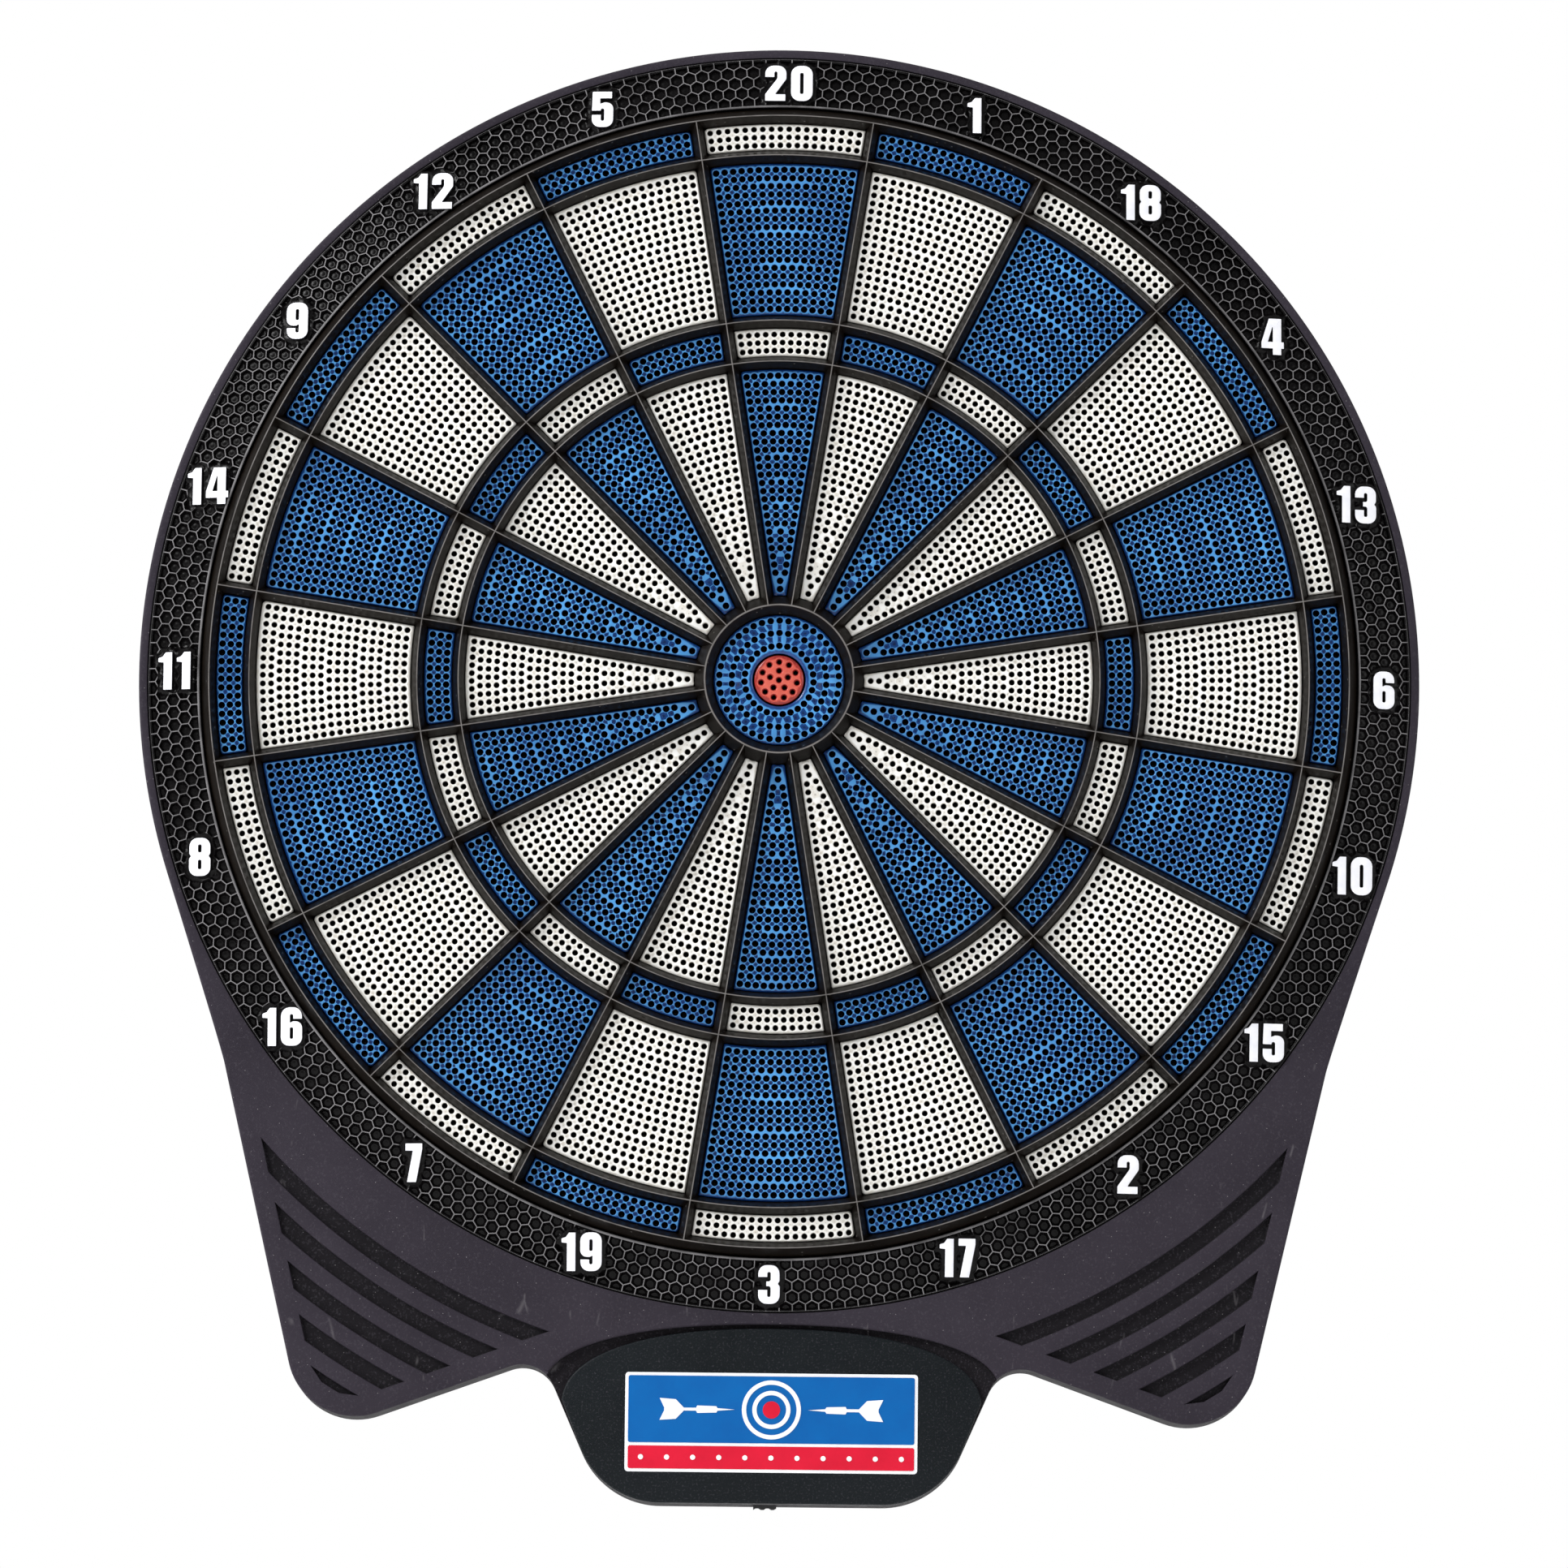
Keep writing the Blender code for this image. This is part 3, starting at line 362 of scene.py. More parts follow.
FLANGE_DEPTHS = mm(8.8, 15.2)

WELD = 1e-6
SMOOTH = math.radians(100)
CREASED = math.radians(32)


# Outlines


def polar(radius, angle):
    return Vector((radius * math.sin(angle), radius * math.cos(angle)))


def circle(radius, steps=ROUND_STEPS, centre=Vector((0.0, 0.0)), start=0.0):
    return [centre + polar(radius, start + math.tau * i / steps) for i in range(steps)]


def box(centre, half_size):
    corners = ((-1, 1), (1, 1), (1, -1), (-1, -1))
    return [centre + Vector((sx * half_size.x, sz * half_size.y)) for sx, sz in corners]


def fillet(before, corner, after, radius, steps=FILLET_STEPS):
    """The arc that rounds a corner, as points from the first tangent to the second."""
    to_before = (before - corner).normalized()
    to_after = (after - corner).normalized()
    half = to_before.angle(to_after) / 2
    centre = corner + (to_before + to_after).normalized() * radius / math.sin(half)
    start = corner + to_before * radius / math.tan(half) - centre
    end = corner + to_after * radius / math.tan(half) - centre
    first = math.atan2(start.y, start.x)
    turn = (math.atan2(end.y, end.x) - first + math.pi) % math.tau - math.pi
    angles = [first + turn * i / steps for i in range(steps + 1)]
    return [centre + radius * Vector((math.cos(a), math.sin(a))) for a in angles]


def rounded(corners):
    """A closed outline from (x, z, radius) corners."""
    points = []
    for i, (x, z, radius) in enumerate(corners):
        before = Vector(corners[i - 1][:2])
        after = Vector(corners[(i + 1) % len(corners)][:2])
        points += fillet(before, Vector((x, z)), after, radius, CORNER_STEPS)
    return points


def oblong(left, right, low, high, radius=0.5):
    """Corners of an upright rectangle, for rounded()."""
    return [(left, low, radius), (left, high, radius), (right, high, radius), (right, low, radius)]


def meeting_point(start_a, along_a, start_b, along_b):
    """Where two straight lines cross."""
    step = (start_b - start_a).cross(along_b) / along_a.cross(along_b)
    return start_a + along_a * step


def mirrored(points):
    return [Vector((-p.x, p.y)) for p in reversed(points)]


def turning_way(points):
    """+1 for a clockwise outline and -1 for the other way round."""
    area = sum(a.cross(b) for a, b in zip(points, points[1:] + points[:1]))
    return -1.0 if area > 0 else 1.0


def inset(points, distance):
    """An outline moved inwards by a distance, with its points kept in step."""
    way = turning_way(points)
    moved = []
    for i, point in enumerate(points):
        ahead = (points[(i + 1) % len(points)] - point).normalized()
        behind = (point - points[i - 1]).normalized()
        normal = Vector((ahead.y + behind.y, -ahead.x - behind.x)).normalized() * way
        square_to_edge = Vector((ahead.y, -ahead.x)) * way
        moved.append(point + normal * distance / max(0.3, normal.dot(square_to_edge)))
    return moved


def holds(loop, point):
    """True if a closed outline goes round a point."""
    inside = False
    for a, b in zip(loop, loop[1:] + loop[:1]):
        if (a.y > point.y) != (b.y > point.y):
            if point.x < a.x + (point.y - a.y) / (b.y - a.y) * (b.x - a.x):
                inside = not inside
    return inside


def sector(ring, side_gap, corners=None):
    """The top number's share of a ring, between sides that run parallel to the spokes."""
    points = []
    for radius, way in ((ring[1], 1), (ring[0], -1)):
        half = SECTOR / 2 - math.asin(side_gap / radius)
        for i in range(ARC_STEPS + 1):
            points.append(polar(radius, way * half * (2 * i / ARC_STEPS - 1)))
    if not corners:
        return points
    cut = []
    places = (0, ARC_STEPS, ARC_STEPS + 1, 2 * ARC_STEPS + 1)
    for i, point in enumerate(points):
        if i in places:
            radius = corners[places.index(i)]
            ahead = points[(i + 1) % len(points)]
            cut += fillet(points[i - 1], point, ahead, radius, CORNER_STEPS)
        else:
            cut.append(point)
    return cut


# Mesh building


class Shell:
    """The vertices and faces of one piece, added row by row."""

    def __init__(self):
        self.vertices = []
        self.faces = []

    def row(self, points, depth):
        """Adds points at a depth, or at a depth each, and returns their numbers."""
        depths = depth if isinstance(depth, list) else [depth] * len(points)
        first = len(self.vertices)
        self.vertices += [(p[0], -d, p[1]) for p, d in zip(points, depths)]
        return list(range(first, len(self.vertices)))

    def band(self, a, b, closed=True):
        """Joins two rows of the same length with four-sided faces."""
        for i in range(len(a) if closed else len(a) - 1):
            j = (i + 1) % len(a)
            self.faces.append((a[i], a[j], b[j], b[i]))

    def sweep(self, steps, closed=True):
        """Adds a row for each (points, depth) and joins them in turn."""
        rows = [self.row(points, depth) for points, depth in steps]
        for a, b in zip(rows, rows[1:]):
            self.band(a, b, closed)
        return rows

    def turn(self, profile, steps=ROUND_STEPS, centre=Vector((0.0, 0.0)), start=0.0):
        """Turns (radius, depth) points about an axis square to the wall."""
        return self.sweep([(circle(radius, steps, centre, start), depth) for radius, depth in profile])

    def ring(self, profile):
        """Turns a closed profile round the board's centre."""
        rows = self.turn(profile)
        self.band(rows[-1], rows[0])

    def fan(self, row, centre, depth):
        """Closes a row onto one point."""
        middle = self.row([centre], depth)[0]
        for i in range(len(row)):
            self.faces.append((row[i], row[(i + 1) % len(row)], middle))

    def flat(self, number):
        x, _, z = self.vertices[number]
        return Vector((x, z))

    def cap(self, edge, holes=(), loose=()):
        """Fills the region inside an edge row and outside hole rows, through loose points."""
        numbers, edges, owners = [], [], []
        for owner, row in enumerate([edge, *holes]):
            first = len(numbers)
            count = len(row)
            numbers += row
            owners += [owner] * count
            edges += [(first + i, first + (i + 1) % count) for i in range(count)]
        numbers += loose
        owners += [-1 - i for i in range(len(loose))]
        points = [self.flat(n) for n in numbers]
        outlines = [[self.flat(n) for n in row] for row in [edge, *holes]]
        made, _, triangles, sources, _, _ = delaunay_2d_cdt(points, edges, [], 1, 1e-9)
        for triangle in triangles:
            places = [sources[i][0] for i in triangle if sources[i]]
            if len(places) < 3:
                continue
            own = {owners[i] for i in places}
            if len(own) == 1:
                middle = sum((made[i] for i in triangle), Vector((0.0, 0.0))) / 3
                if holds(outlines[own.pop()], middle) != (owners[places[0]] == 0):
                    continue
            self.faces.append(tuple(numbers[i] for i in places))


def finished_mesh(name, shell, crease):
    mesh = bpy.data.meshes.new(name)
    mesh.from_pydata(shell.vertices, [], shell.faces)
    work = bmesh.new()
    work.from_mesh(mesh)
    bmesh.ops.remove_doubles(work, verts=work.verts, dist=WELD)
    bmesh.ops.dissolve_degenerate(work, dist=WELD, edges=work.edges)
    bmesh.ops.recalc_face_normals(work, faces=work.faces)
    for face in work.faces:
        face.smooth = True
    work.to_mesh(mesh)
    work.free()
    mesh.set_sharp_from_angle(angle=crease)
    return mesh


def place(name, mesh, material, slot, stands_for, body):
    """Puts a finished mesh into the scene as one piece of a body."""
    mesh.materials.clear()
    mesh.materials.append(material)
    item = bpy.data.objects.new(name, mesh)
    bpy.context.scene.collection.objects.link(item)
    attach(item, body)
    if stands_for:
        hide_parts(*stands_for)


def add_piece(name, shell, material, slot, stands_for=(), body="board", crease=CREASED):
    place(name, finished_mesh(name, shell, crease), material, slot, stands_for, body)


# Materials


class Nodes:
    """A node tree, with helpers that add nodes to it and wire them."""

    def __init__(self, tree, place):
        self.tree = tree
        self.place = tree.nodes.new("ShaderNodeTexCoord").outputs[place]

    def link(self, source, target):
        if isinstance(source, bpy.types.NodeSocket):
            self.tree.links.new(source, target)
        else:
            target.default_value = source

    def add(self, kind, output, **inputs):
        """Adds a node with its inputs set or wired by name, and returns one of its outputs."""
        node = self.tree.nodes.new("ShaderNode" + kind)
        if "feature" in inputs:
            node.feature = inputs.pop("feature")
        for name, value in inputs.items():
            self.link(value, node.inputs[name.replace("_", " ")])
        return node.outputs[output]

    def axis(self, letter):
        return self.add("SeparateXYZ", letter, Vector=self.place)

    def ramp(self, value, low, high, to_low=0.0, to_high=1.0):
        if low > high:
            low, high, to_low, to_high = high, low, to_high, to_low
        return self.add(
            "MapRange", "Result", Value=value, From_Min=low, From_Max=high, To_Min=to_low, To_Max=to_high
        )

    def math(self, operation, a, b):
        node = self.tree.nodes.new("ShaderNodeMath")
        node.operation = operation
        self.link(a, node.inputs[0])
        self.link(b, node.inputs[1])
        return node.outputs[0]


class Recipe(Nodes):
    """A node material with one principled shader."""

    def __init__(self, name, roughness, **constants):
        self.material = bpy.data.materials.new(name)
        self.material.use_nodes = True
        super().__init__(self.material.node_tree, "Object")
        self.shader = self.tree.nodes["Principled BSDF"]
        for socket, value in {"Roughness": roughness, **constants}.items():
            self.link(value, self.shader.inputs[socket.replace("_", " ")])

    def noise(self, per_metre, detail=4.0):
        return self.add("TexNoise", "Fac", Vector=self.place, Scale=per_metre, Detail=detail, Roughness=0.55)

    def specks(self, per_metre, size):
        """1 inside small scattered dots and 0 elsewhere."""
        distance = self.add("TexVoronoi", "Distance", Vector=self.place, Scale=per_metre, Randomness=1.0)
        return self.ramp(distance, size, size * 0.6)

    def scratches(self, per_metre, stretch, tilt, width):
        """Thin broken lines across the surface."""
        turned_place = self.add(
            "Mapping", "Vector", Vector=self.place, Rotation=(0.0, tilt, 0.0), Scale=(1.0, 1.0, stretch)
        )
        distance = self.add(
            "TexVoronoi", "Distance", feature="DISTANCE_TO_EDGE", Vector=turned_place, Scale=per_metre
        )
        line = self.ramp(distance, width, 0.0)
        return self.math("MULTIPLY", line, self.ramp(self.noise(90, 2.0), 0.58, 0.66))

    def mix(self, factor, a, b):
        node = self.tree.nodes.new("ShaderNodeMix")
        node.data_type = "RGBA"
        self.link(factor, node.inputs["Factor"])
        for value, socket in ((a, "A"), (b, "B")):
            self.link((*value, 1.0) if isinstance(value, tuple) else value, node.inputs[socket])
        return node.outputs["Result"]

    def colour(self, value):
        self.link(value, self.shader.inputs["Base Color"])

    def mottle(self, per_metre, detail, high, a, b):
        """Soft patches of colour b in colour a."""
        return self.mix(self.ramp(self.noise(per_metre, detail), 0.35, high), a, b)

    def surface(self, patches, smooth, rough, grains, detail, distance, strength):
        """Uneven gloss between two roughnesses, and fine grain."""
        self.link(self.ramp(self.noise(patches), 0.3, 0.7, smooth, rough), self.shader.inputs["Roughness"])
        height = self.noise(grains, detail)
        bumps = self.add("Bump", "Normal", Distance=distance, Strength=strength, Height=height)
        self.link(bumps, self.shader.inputs["Normal"])


def segment_material(name, rim, face, deep, roughness, dark_from):
    """Moulded plastic with painted light: pale top and rims as a highlight, deeper colour in the hollows and
    dark inside the holes as shade.
    """
    recipe = Recipe(name, roughness, Specular_IOR_Level=0.5)
    below = recipe.math("ADD", recipe.axis("Y"), SEGMENT_FRONT)
    clouds = recipe.ramp(recipe.noise(45, 3.0), 0.35, 0.68)
    # Painted highlight: raised surfaces take the pale rim colour, mottled with the face colour.
    raised = recipe.mix(recipe.math("MULTIPLY", clouds, 0.45), rim, face)
    # Painted shade: sunk surfaces take the face colour mottled with the deep colour.
    sunk = recipe.mottle(420, 3.0, 0.7, face, deep)
    # Pale painted highlight on the top surface, turning to painted shade from 0.01 mm below it.
    painted_light = recipe.mix(recipe.ramp(below, 0.01 * MM, 0.08 * MM), raised, sunk)
    # Painted shade inside the holes, close to black from dark_from below the face.
    dark = recipe.ramp(below, dark_from, dark_from + 0.6 * MM)
    recipe.colour(recipe.mix(dark, painted_light, (0.002, 0.002, 0.003)))
    recipe.surface(300, roughness - 0.06, roughness + 0.08, 1500, 3.0, 0.02 * MM, 0.4)
    return recipe.material


def moulded_material(name, colour, tint, roughness, grain, dust, scuffs, shine=0.5, face=None):
    """Textured black plastic with fine grain, dust specks and light scuffs, darker below its face as painted
    shade.
    """
    recipe = Recipe(name, roughness, Specular_IOR_Level=shine)
    clouds = recipe.mottle(22, 5.0, 0.7, colour, tint)
    if face is not None:
        # Painted shade in the grooves and down the sides: the colour falls towards near black from 0.4 mm
        # below the face.
        sunk = recipe.ramp(recipe.math("ADD", recipe.axis("Y"), face), 0.4 * MM, 1.6 * MM, 0.0, 0.82)
        clouds = recipe.mix(sunk, clouds, (0.003, 0.0026, 0.0032))
    grains = recipe.ramp(recipe.noise(1400, 2.0), 0.55, 0.75, 0.0, 0.35)
    speckled = recipe.mix(grains, clouds, (0.075, 0.068, 0.082))
    specks = recipe.math("MULTIPLY", recipe.specks(400, 0.075), dust)
    dusted = recipe.mix(specks, speckled, (0.40, 0.38, 0.39))
    marks = recipe.math("MULTIPLY", recipe.scratches(34, 0.22, 0.7, 0.012), scuffs)
    recipe.colour(recipe.mix(marks, dusted, (0.16, 0.15, 0.16)))
    recipe.surface(160, roughness - 0.07, roughness + 0.09, 2600, 2.0, grain, 0.6)
    return recipe.material


def plain_material(name, colour, tint, roughness, per_metre=60, metallic=0.0, grain=0.02 * MM, shine=0.5):
    """A mottled finish for parts that need no more than grain and slight variation."""
    recipe = Recipe(name, roughness, Metallic=metallic, Specular_IOR_Level=shine)
    recipe.colour(recipe.mottle(per_metre, 4.0, 0.68, colour, tint))
    recipe.surface(per_metre * 4, roughness - 0.06, roughness + 0.08, per_metre * 30, 2.0, grain, 0.5)
    return recipe.material


def ring_material():
    """Black plastic with a painted highlight: the cell ridges are painted light grey along their tops."""
    recipe = Recipe("ring_moulding", 0.28, Specular_IOR_Level=0.12)
    x, z = recipe.axis("X"), recipe.axis("Z")
    square = recipe.math("ADD", recipe.math("MULTIPLY", x, x), recipe.math("MULTIPLY", z, z))
    fall = recipe.math("MULTIPLY", recipe.math("SQRT", square, 0.0), CONE_SLOPE)
    cone = recipe.math("ADD", fall, RING_INNER_FRONT - RING_INNER * CONE_SLOPE)
    below = recipe.math("ADD", cone, recipe.axis("Y"))
    # Painted highlight along the ridge tops, broken by noise and weaker inside the cell band.
    top = recipe.ramp(below, 0.08 * MM, 0.03 * MM)
    painted_light = recipe.math("MULTIPLY", top, recipe.ramp(recipe.noise(130, 3.0), 0.3, 0.6, 0.4, 1.0))
    cells = recipe.ramp(square, (CELL_BAND[0] - 0.4 * MM) ** 2, (CELL_BAND[0] + 0.2 * MM) ** 2, 0.25, 1.0)
    base = recipe.mottle(30, 4.0, 0.7, (0.0015, 0.0012, 0.0014), (0.0045, 0.0038, 0.0042))
    recipe.colour(recipe.mix(recipe.math("MULTIPLY", painted_light, cells), base, (0.190, 0.185, 0.190)))
    recipe.surface(160, 0.22, 0.36, 2200, 2.0, 0.01 * MM, 0.5)
    return recipe.material


def spider_material():
    """Black plastic with a thin lighter line along the top of every rib, as a painted highlight."""
    recipe = Recipe("spider_moulding", 0.38, Specular_IOR_Level=0.13)
    depth = recipe.math("MULTIPLY", recipe.axis("Y"), -1.0)
    # Painted highlight along the rib ridges, broken by noise.
    top = recipe.ramp(depth, SPIDER_FRONT - 0.11 * MM, SPIDER_FRONT - 0.04 * MM)
    painted_light = recipe.math("MULTIPLY", top, recipe.ramp(recipe.noise(140, 3.0), 0.25, 0.55, 0.45, 1.0))
    base = recipe.mottle(26, 4.0, 0.7, (0.0035, 0.0026, 0.0020), (0.0070, 0.0050, 0.0038))
    dusted = recipe.mix(recipe.math("MULTIPLY", recipe.specks(260, 0.10), 0.2), base, (0.4, 0.38, 0.36))
    recipe.colour(recipe.mix(painted_light, dusted, (0.16, 0.15, 0.145)))
    recipe.surface(160, 0.27, 0.42, 2600, 2.0, 0.01 * MM, 0.5)
    return recipe.material


# Segment colours: pale top and rims as painted highlight, sunk and deepest colours as painted shade,
# roughness, and where the painted shade in the holes begins.
BLUE = segment_material(
    "blue_segments", (0.078, 0.320, 0.680), (0.003, 0.046, 0.205), (0.0015, 0.022, 0.115), 0.2, 0.3 * MM
)
WHITE = segment_material(
    "white_segments", (0.940, 0.938, 0.915), (0.890, 0.880, 0.835), (0.740, 0.700, 0.620), 0.34, 0.5 * MM
)
RED = segment_material(
    "red_segment", (0.620, 0.110, 0.076), (0.360, 0.024, 0.017), (0.220, 0.012, 0.010), 0.26, 0.45 * MM
)
# The housing gets painted shade below its front face.
HOUSING = moulded_material(
    "housing_moulding", (0.023, 0.0190, 0.027), (0.033, 0.0275, 0.038), 0.72, 0.05 * MM, 0.4, 0.35, 0.14,
    HOUSING_FRONT
)
RING = ring_material()
STEP = moulded_material(
    "numeral_step", (0.004, 0.004, 0.005), (0.008, 0.007, 0.009), 0.4, 0.01 * MM, 0.1, 0.0, 0.4
)
SPIDER = spider_material()
BADGE = moulded_material(
    "badge_moulding", (0.0035, 0.0055, 0.0070), (0.0050, 0.0075, 0.0095), 0.5, 0.006 * MM, 0.05, 0.0, 0.15
)
PAINT = plain_material("numeral_paint", (0.90, 0.90, 0.93), (0.80, 0.81, 0.87), 0.45, 220)
LABEL_WHITE = plain_material("print_white", (0.82, 0.83, 0.85), (0.74, 0.75, 0.78), 0.4, 90, grain=0.004 * MM)
LABEL_BLUE = plain_material(
    "print_blue", (0.0008, 0.110, 0.370), (0.0006, 0.095, 0.340), 0.5, 90, grain=0.004 * MM, shine=0.15
)
LABEL_RED = plain_material(
    "print_red", (0.640, 0.010, 0.036), (0.560, 0.008, 0.030), 0.45, 90, grain=0.004 * MM, shine=0.15
)
COVER = moulded_material(
    "cover_moulding", (0.013, 0.012, 0.014), (0.021, 0.019, 0.022), 0.55, 0.06 * MM, 0.15, 0.35, 0.3
)
STEEL = plain_material("zinc_steel", (0.26, 0.26, 0.27), (0.17, 0.17, 0.18), 0.36, 120, 1.0, 0.006 * MM)
PAPER = plain_material("cone_paper", (0.035, 0.033, 0.031), (0.055, 0.052, 0.048), 0.9, 300, grain=0.05 * MM)
SLEEVE = plain_material("cell_wrap", (0.012, 0.012, 0.014), (0.020, 0.020, 0.022), 0.28, 60, grain=0.004 * MM)
COPPER = plain_material("cell_copper", (0.72, 0.40, 0.20), (0.60, 0.32, 0.15), 0.3, 80, 0.9, 0.004 * MM)
SWITCH = plain_material("switch_moulding", (0.012, 0.012, 0.013), (0.020, 0.020, 0.021), 0.5, 120)


# Segments


def half_row(radius):
    """Half of the angle that the holes of a row may take up."""
    return SECTOR / 2 - math.asin(HALF_SPOKE / radius) - SIDE_MARGIN / radius


def hole_rows(ring, hole_pitch, narrow):
    """Centres of a segment's holes, row by row from the outside in. Rows of a narrow ring match."""
    middle = (ring[0] + ring[1]) / 2
    row_count, row_gap = NARROW_ROWS, NARROW_ROW_PITCH
    if not narrow:
        span = ring[1] - ring[0] - 2 * ROW_MARGIN
        row_count = round(span / ROW_PITCH) + 1
        row_gap = span / (row_count - 1)
    rows = []
    for i in range(row_count):
        radius = middle + ((row_count - 1) / 2 - i) * row_gap
        half = half_row(radius)
        counted = middle if narrow else radius
        count = max(1, int(2 * half_row(counted) * counted / hole_pitch) + 1)
        if count == 1:
            angles = [0.0]
        else:
            angles = [half * (2 * k / (count - 1) - 1) for k in range(count)]
        rows.append([(radius, angle) for angle in angles])
    return rows


def hollows_between(rows, rim):
    """Points in the gaps between four holes."""
    centres = [polar(r, a) for row in rows for r, a in row]
    points = []
    for upper, lower in zip(rows, rows[1:]):
        radius = (upper[0][0] + lower[0][0]) / 2
        for (_, a), (_, b) in zip(upper, upper[1:]):
            point = polar(radius, (a + b) / 2)
            if min((point - c).length for c in centres) > rim + HOLLOW_CLEAR:
                points.append(point)
    return points


def perforated(shell, edge, holes, hollows, rim, hole, inner_edge=None, back=SEGMENT_BACK):
    """A plate with rimmed, countersunk holes in its face and small hollows between them."""
    edges = [edge] + ([inner_edge] if inner_edge else [])
    faces_at = SEGMENT_FRONT - EDGE_DROP
    last_rows, back_rows = [], []
    for i, outline in enumerate(edges):
        step_in = inset(outline, EDGE_CHAMFER if i == 0 else -EDGE_CHAMFER)
        rows = shell.sweep([(outline, back), (outline, faces_at - EDGE_CHAMFER), (step_in, faces_at)])
        back_rows.append(rows[0])
        last_rows.append(rows[-1])
    rims = []
    profile = [
        (rim, SEGMENT_FRONT),
        (max(rim - RIM_EDGE, hole + LEAST_WALL), SEGMENT_FRONT - RIM_DROP),
        (hole + LEAST_WALL / 2, SEGMENT_FRONT - FUNNEL_DEPTH),
        (hole, SEGMENT_FRONT - HOLE_DEPTH),
    ]
    for centre in holes:
        rows = shell.turn(profile, HOLE_STEPS, centre)
        shell.faces.append(tuple(rows[-1]))
        rims.append(rows[0])
    loose = shell.row(hollows, SEGMENT_FRONT - HOLLOW_DEPTH)
    shell.cap(last_rows[0], last_rows[1:] + rims, loose)
    shell.cap(back_rows[0], back_rows[1:])


def bar(offset, span, half_width):
    """A straight bar beside the top number's centre line."""
    middle = Vector((offset, sum(span) / 2))
    return box(middle, Vector((half_width, (span[1] - span[0]) / 2)))


def block(shell, loop, back, front):
    """A plain prism."""
    rows = shell.sweep([(loop, back), (loop, front)])
    for row in rows:
        shell.faces.append(tuple(row))


def segment_pair(rings, web_offset, feet, pitches, corners, hole):
    """Both segments that one number has in a colour, with their web, at the top of the board."""
    shell = Shell()
    for ring, pitch, keyed in zip(rings, pitches, corners):
        narrow = ring in (TREBLE_RING, DOUBLE_RING)
        rows = hole_rows(ring, pitch, narrow)
        holes = [polar(r, a) for row in rows for r, a in row]
        rim = NARROW_RIM_RADIUS if narrow else RIM_RADIUS
        perforated(shell, sector(ring, HALF_SPOKE, keyed), holes, hollows_between(rows, rim), rim, hole)
    web_span = (feet[0][0] - WEB_OVERRUN, feet[1][1] + WEB_OVERRUN)
    block(shell, bar(web_offset, web_span, WEB_HALF_WIDTH), WEB_BACK, WEB_FRONT)
    for foot in feet:
        block(shell, bar(web_offset, foot, FOOT_HALF_WIDTH), WEB_FRONT, SEGMENT_BACK)
    return finished_mesh("segments", shell, SMOOTH)


def build_segments():
    sharp, soft, fuller, key = SHARP_CORNER, SOFT_CORNER, ROUND_CORNER, KEY_CORNER
    single_corners = {
        BLUE: ((key, sharp, sharp, sharp), (key, sharp, sharp, soft)),
        WHITE: ((sharp, sharp, sharp, sharp), (sharp, key, sharp, sharp)),
    }
    multiple_corners = {
        BLUE: ((key, sharp, soft, key), (key, key, sharp, fuller)),
        WHITE: ((sharp, soft, sharp, key), (key, sharp, sharp, key)),
    }
    templates = {}
    for colour, hole in ((BLUE, BLUE_HOLE), (WHITE, WHITE_HOLE)):
        templates["single", colour.name] = segment_pair(
            (INNER_SINGLE_RING, OUTER_SINGLE_RING), -WEB_OFFSET, SINGLE_FEET,
            SINGLE_PITCHES, single_corners[colour], hole,
        )
        templates["multiple", colour.name] = segment_pair(
            (TREBLE_RING, DOUBLE_RING), WEB_OFFSET, MULTIPLE_FEET,
            MULTIPLE_PITCHES, multiple_corners[colour], hole,
        )
    for index, number in enumerate(NUMBERS):
        colours = (BLUE, WHITE) if index % 2 == 0 else (WHITE, BLUE)
        for kind, colour in zip(("single", "multiple"), colours):
            mesh = templates[kind, colour.name].copy()
            mesh.transform(Matrix.Rotation(index * SECTOR, 4, "Y"))
            node = f"{kind}_{number:02d}"
            slot = "blue_plastic" if colour == BLUE else "white_plastic"
            place(f"{node}_moulding", mesh, colour, slot, (node,), node)


def on_circles(circles):
    return [point for radius, count in circles for point in circle(radius, count)]


def build_bulls():
    shell = Shell()
    edges = [circle(radius, steps) for radius, steps in zip(OUTER_BULL_RING, (SMALL_STEPS, BULL_STEPS))]
    holes, hollows = on_circles(BULL_HOLES), on_circles(BULL_HOLLOWS)
    perforated(shell, edges[1], holes, hollows, NARROW_RIM_RADIUS, BLUE_HOLE, edges[0], WEB_BACK)
    add_piece("outer_bull_moulding", shell, BLUE, "blue_plastic", ("outer_bull",), "outer_bull", SMOOTH)

    shell = Shell()
    holes = [Vector((0.0, 0.0))] + on_circles(BULLSEYE_HOLES)
    perforated(shell, circle(BULLSEYE_RADIUS, SMALL_STEPS), holes, [], RIM_RADIUS, RED_HOLE, None, WEB_BACK)
    add_piece("bullseye_moulding", shell, RED, "red_plastic", ("bullseye",), "bullseye", SMOOTH)


# Spider


def rib_cell(shell, index, inner, outer, reach_in, reach_out):
    """One opening of the rib frame: slopes from the ridges round it, and the walls below them."""
    turn = Matrix.Rotation(-index * SECTOR, 2)
    foot = SEGMENT_FRONT - EDGE_DROP
    steps = []
    for share, fall in RIB_PROFILE:
        ring = (inner + reach_in * share, outer - reach_out * share)
        loop = [turn @ p for p in sector(ring, RIB_HALF * share)]
        steps.append((loop, SPIDER_FRONT - (SPIDER_FRONT - foot) * fall))
    steps.append((steps[-1][0], SPIDER_BACK))
    steps.append((steps[0][0], SPIDER_BACK))
    shell.sweep(steps)


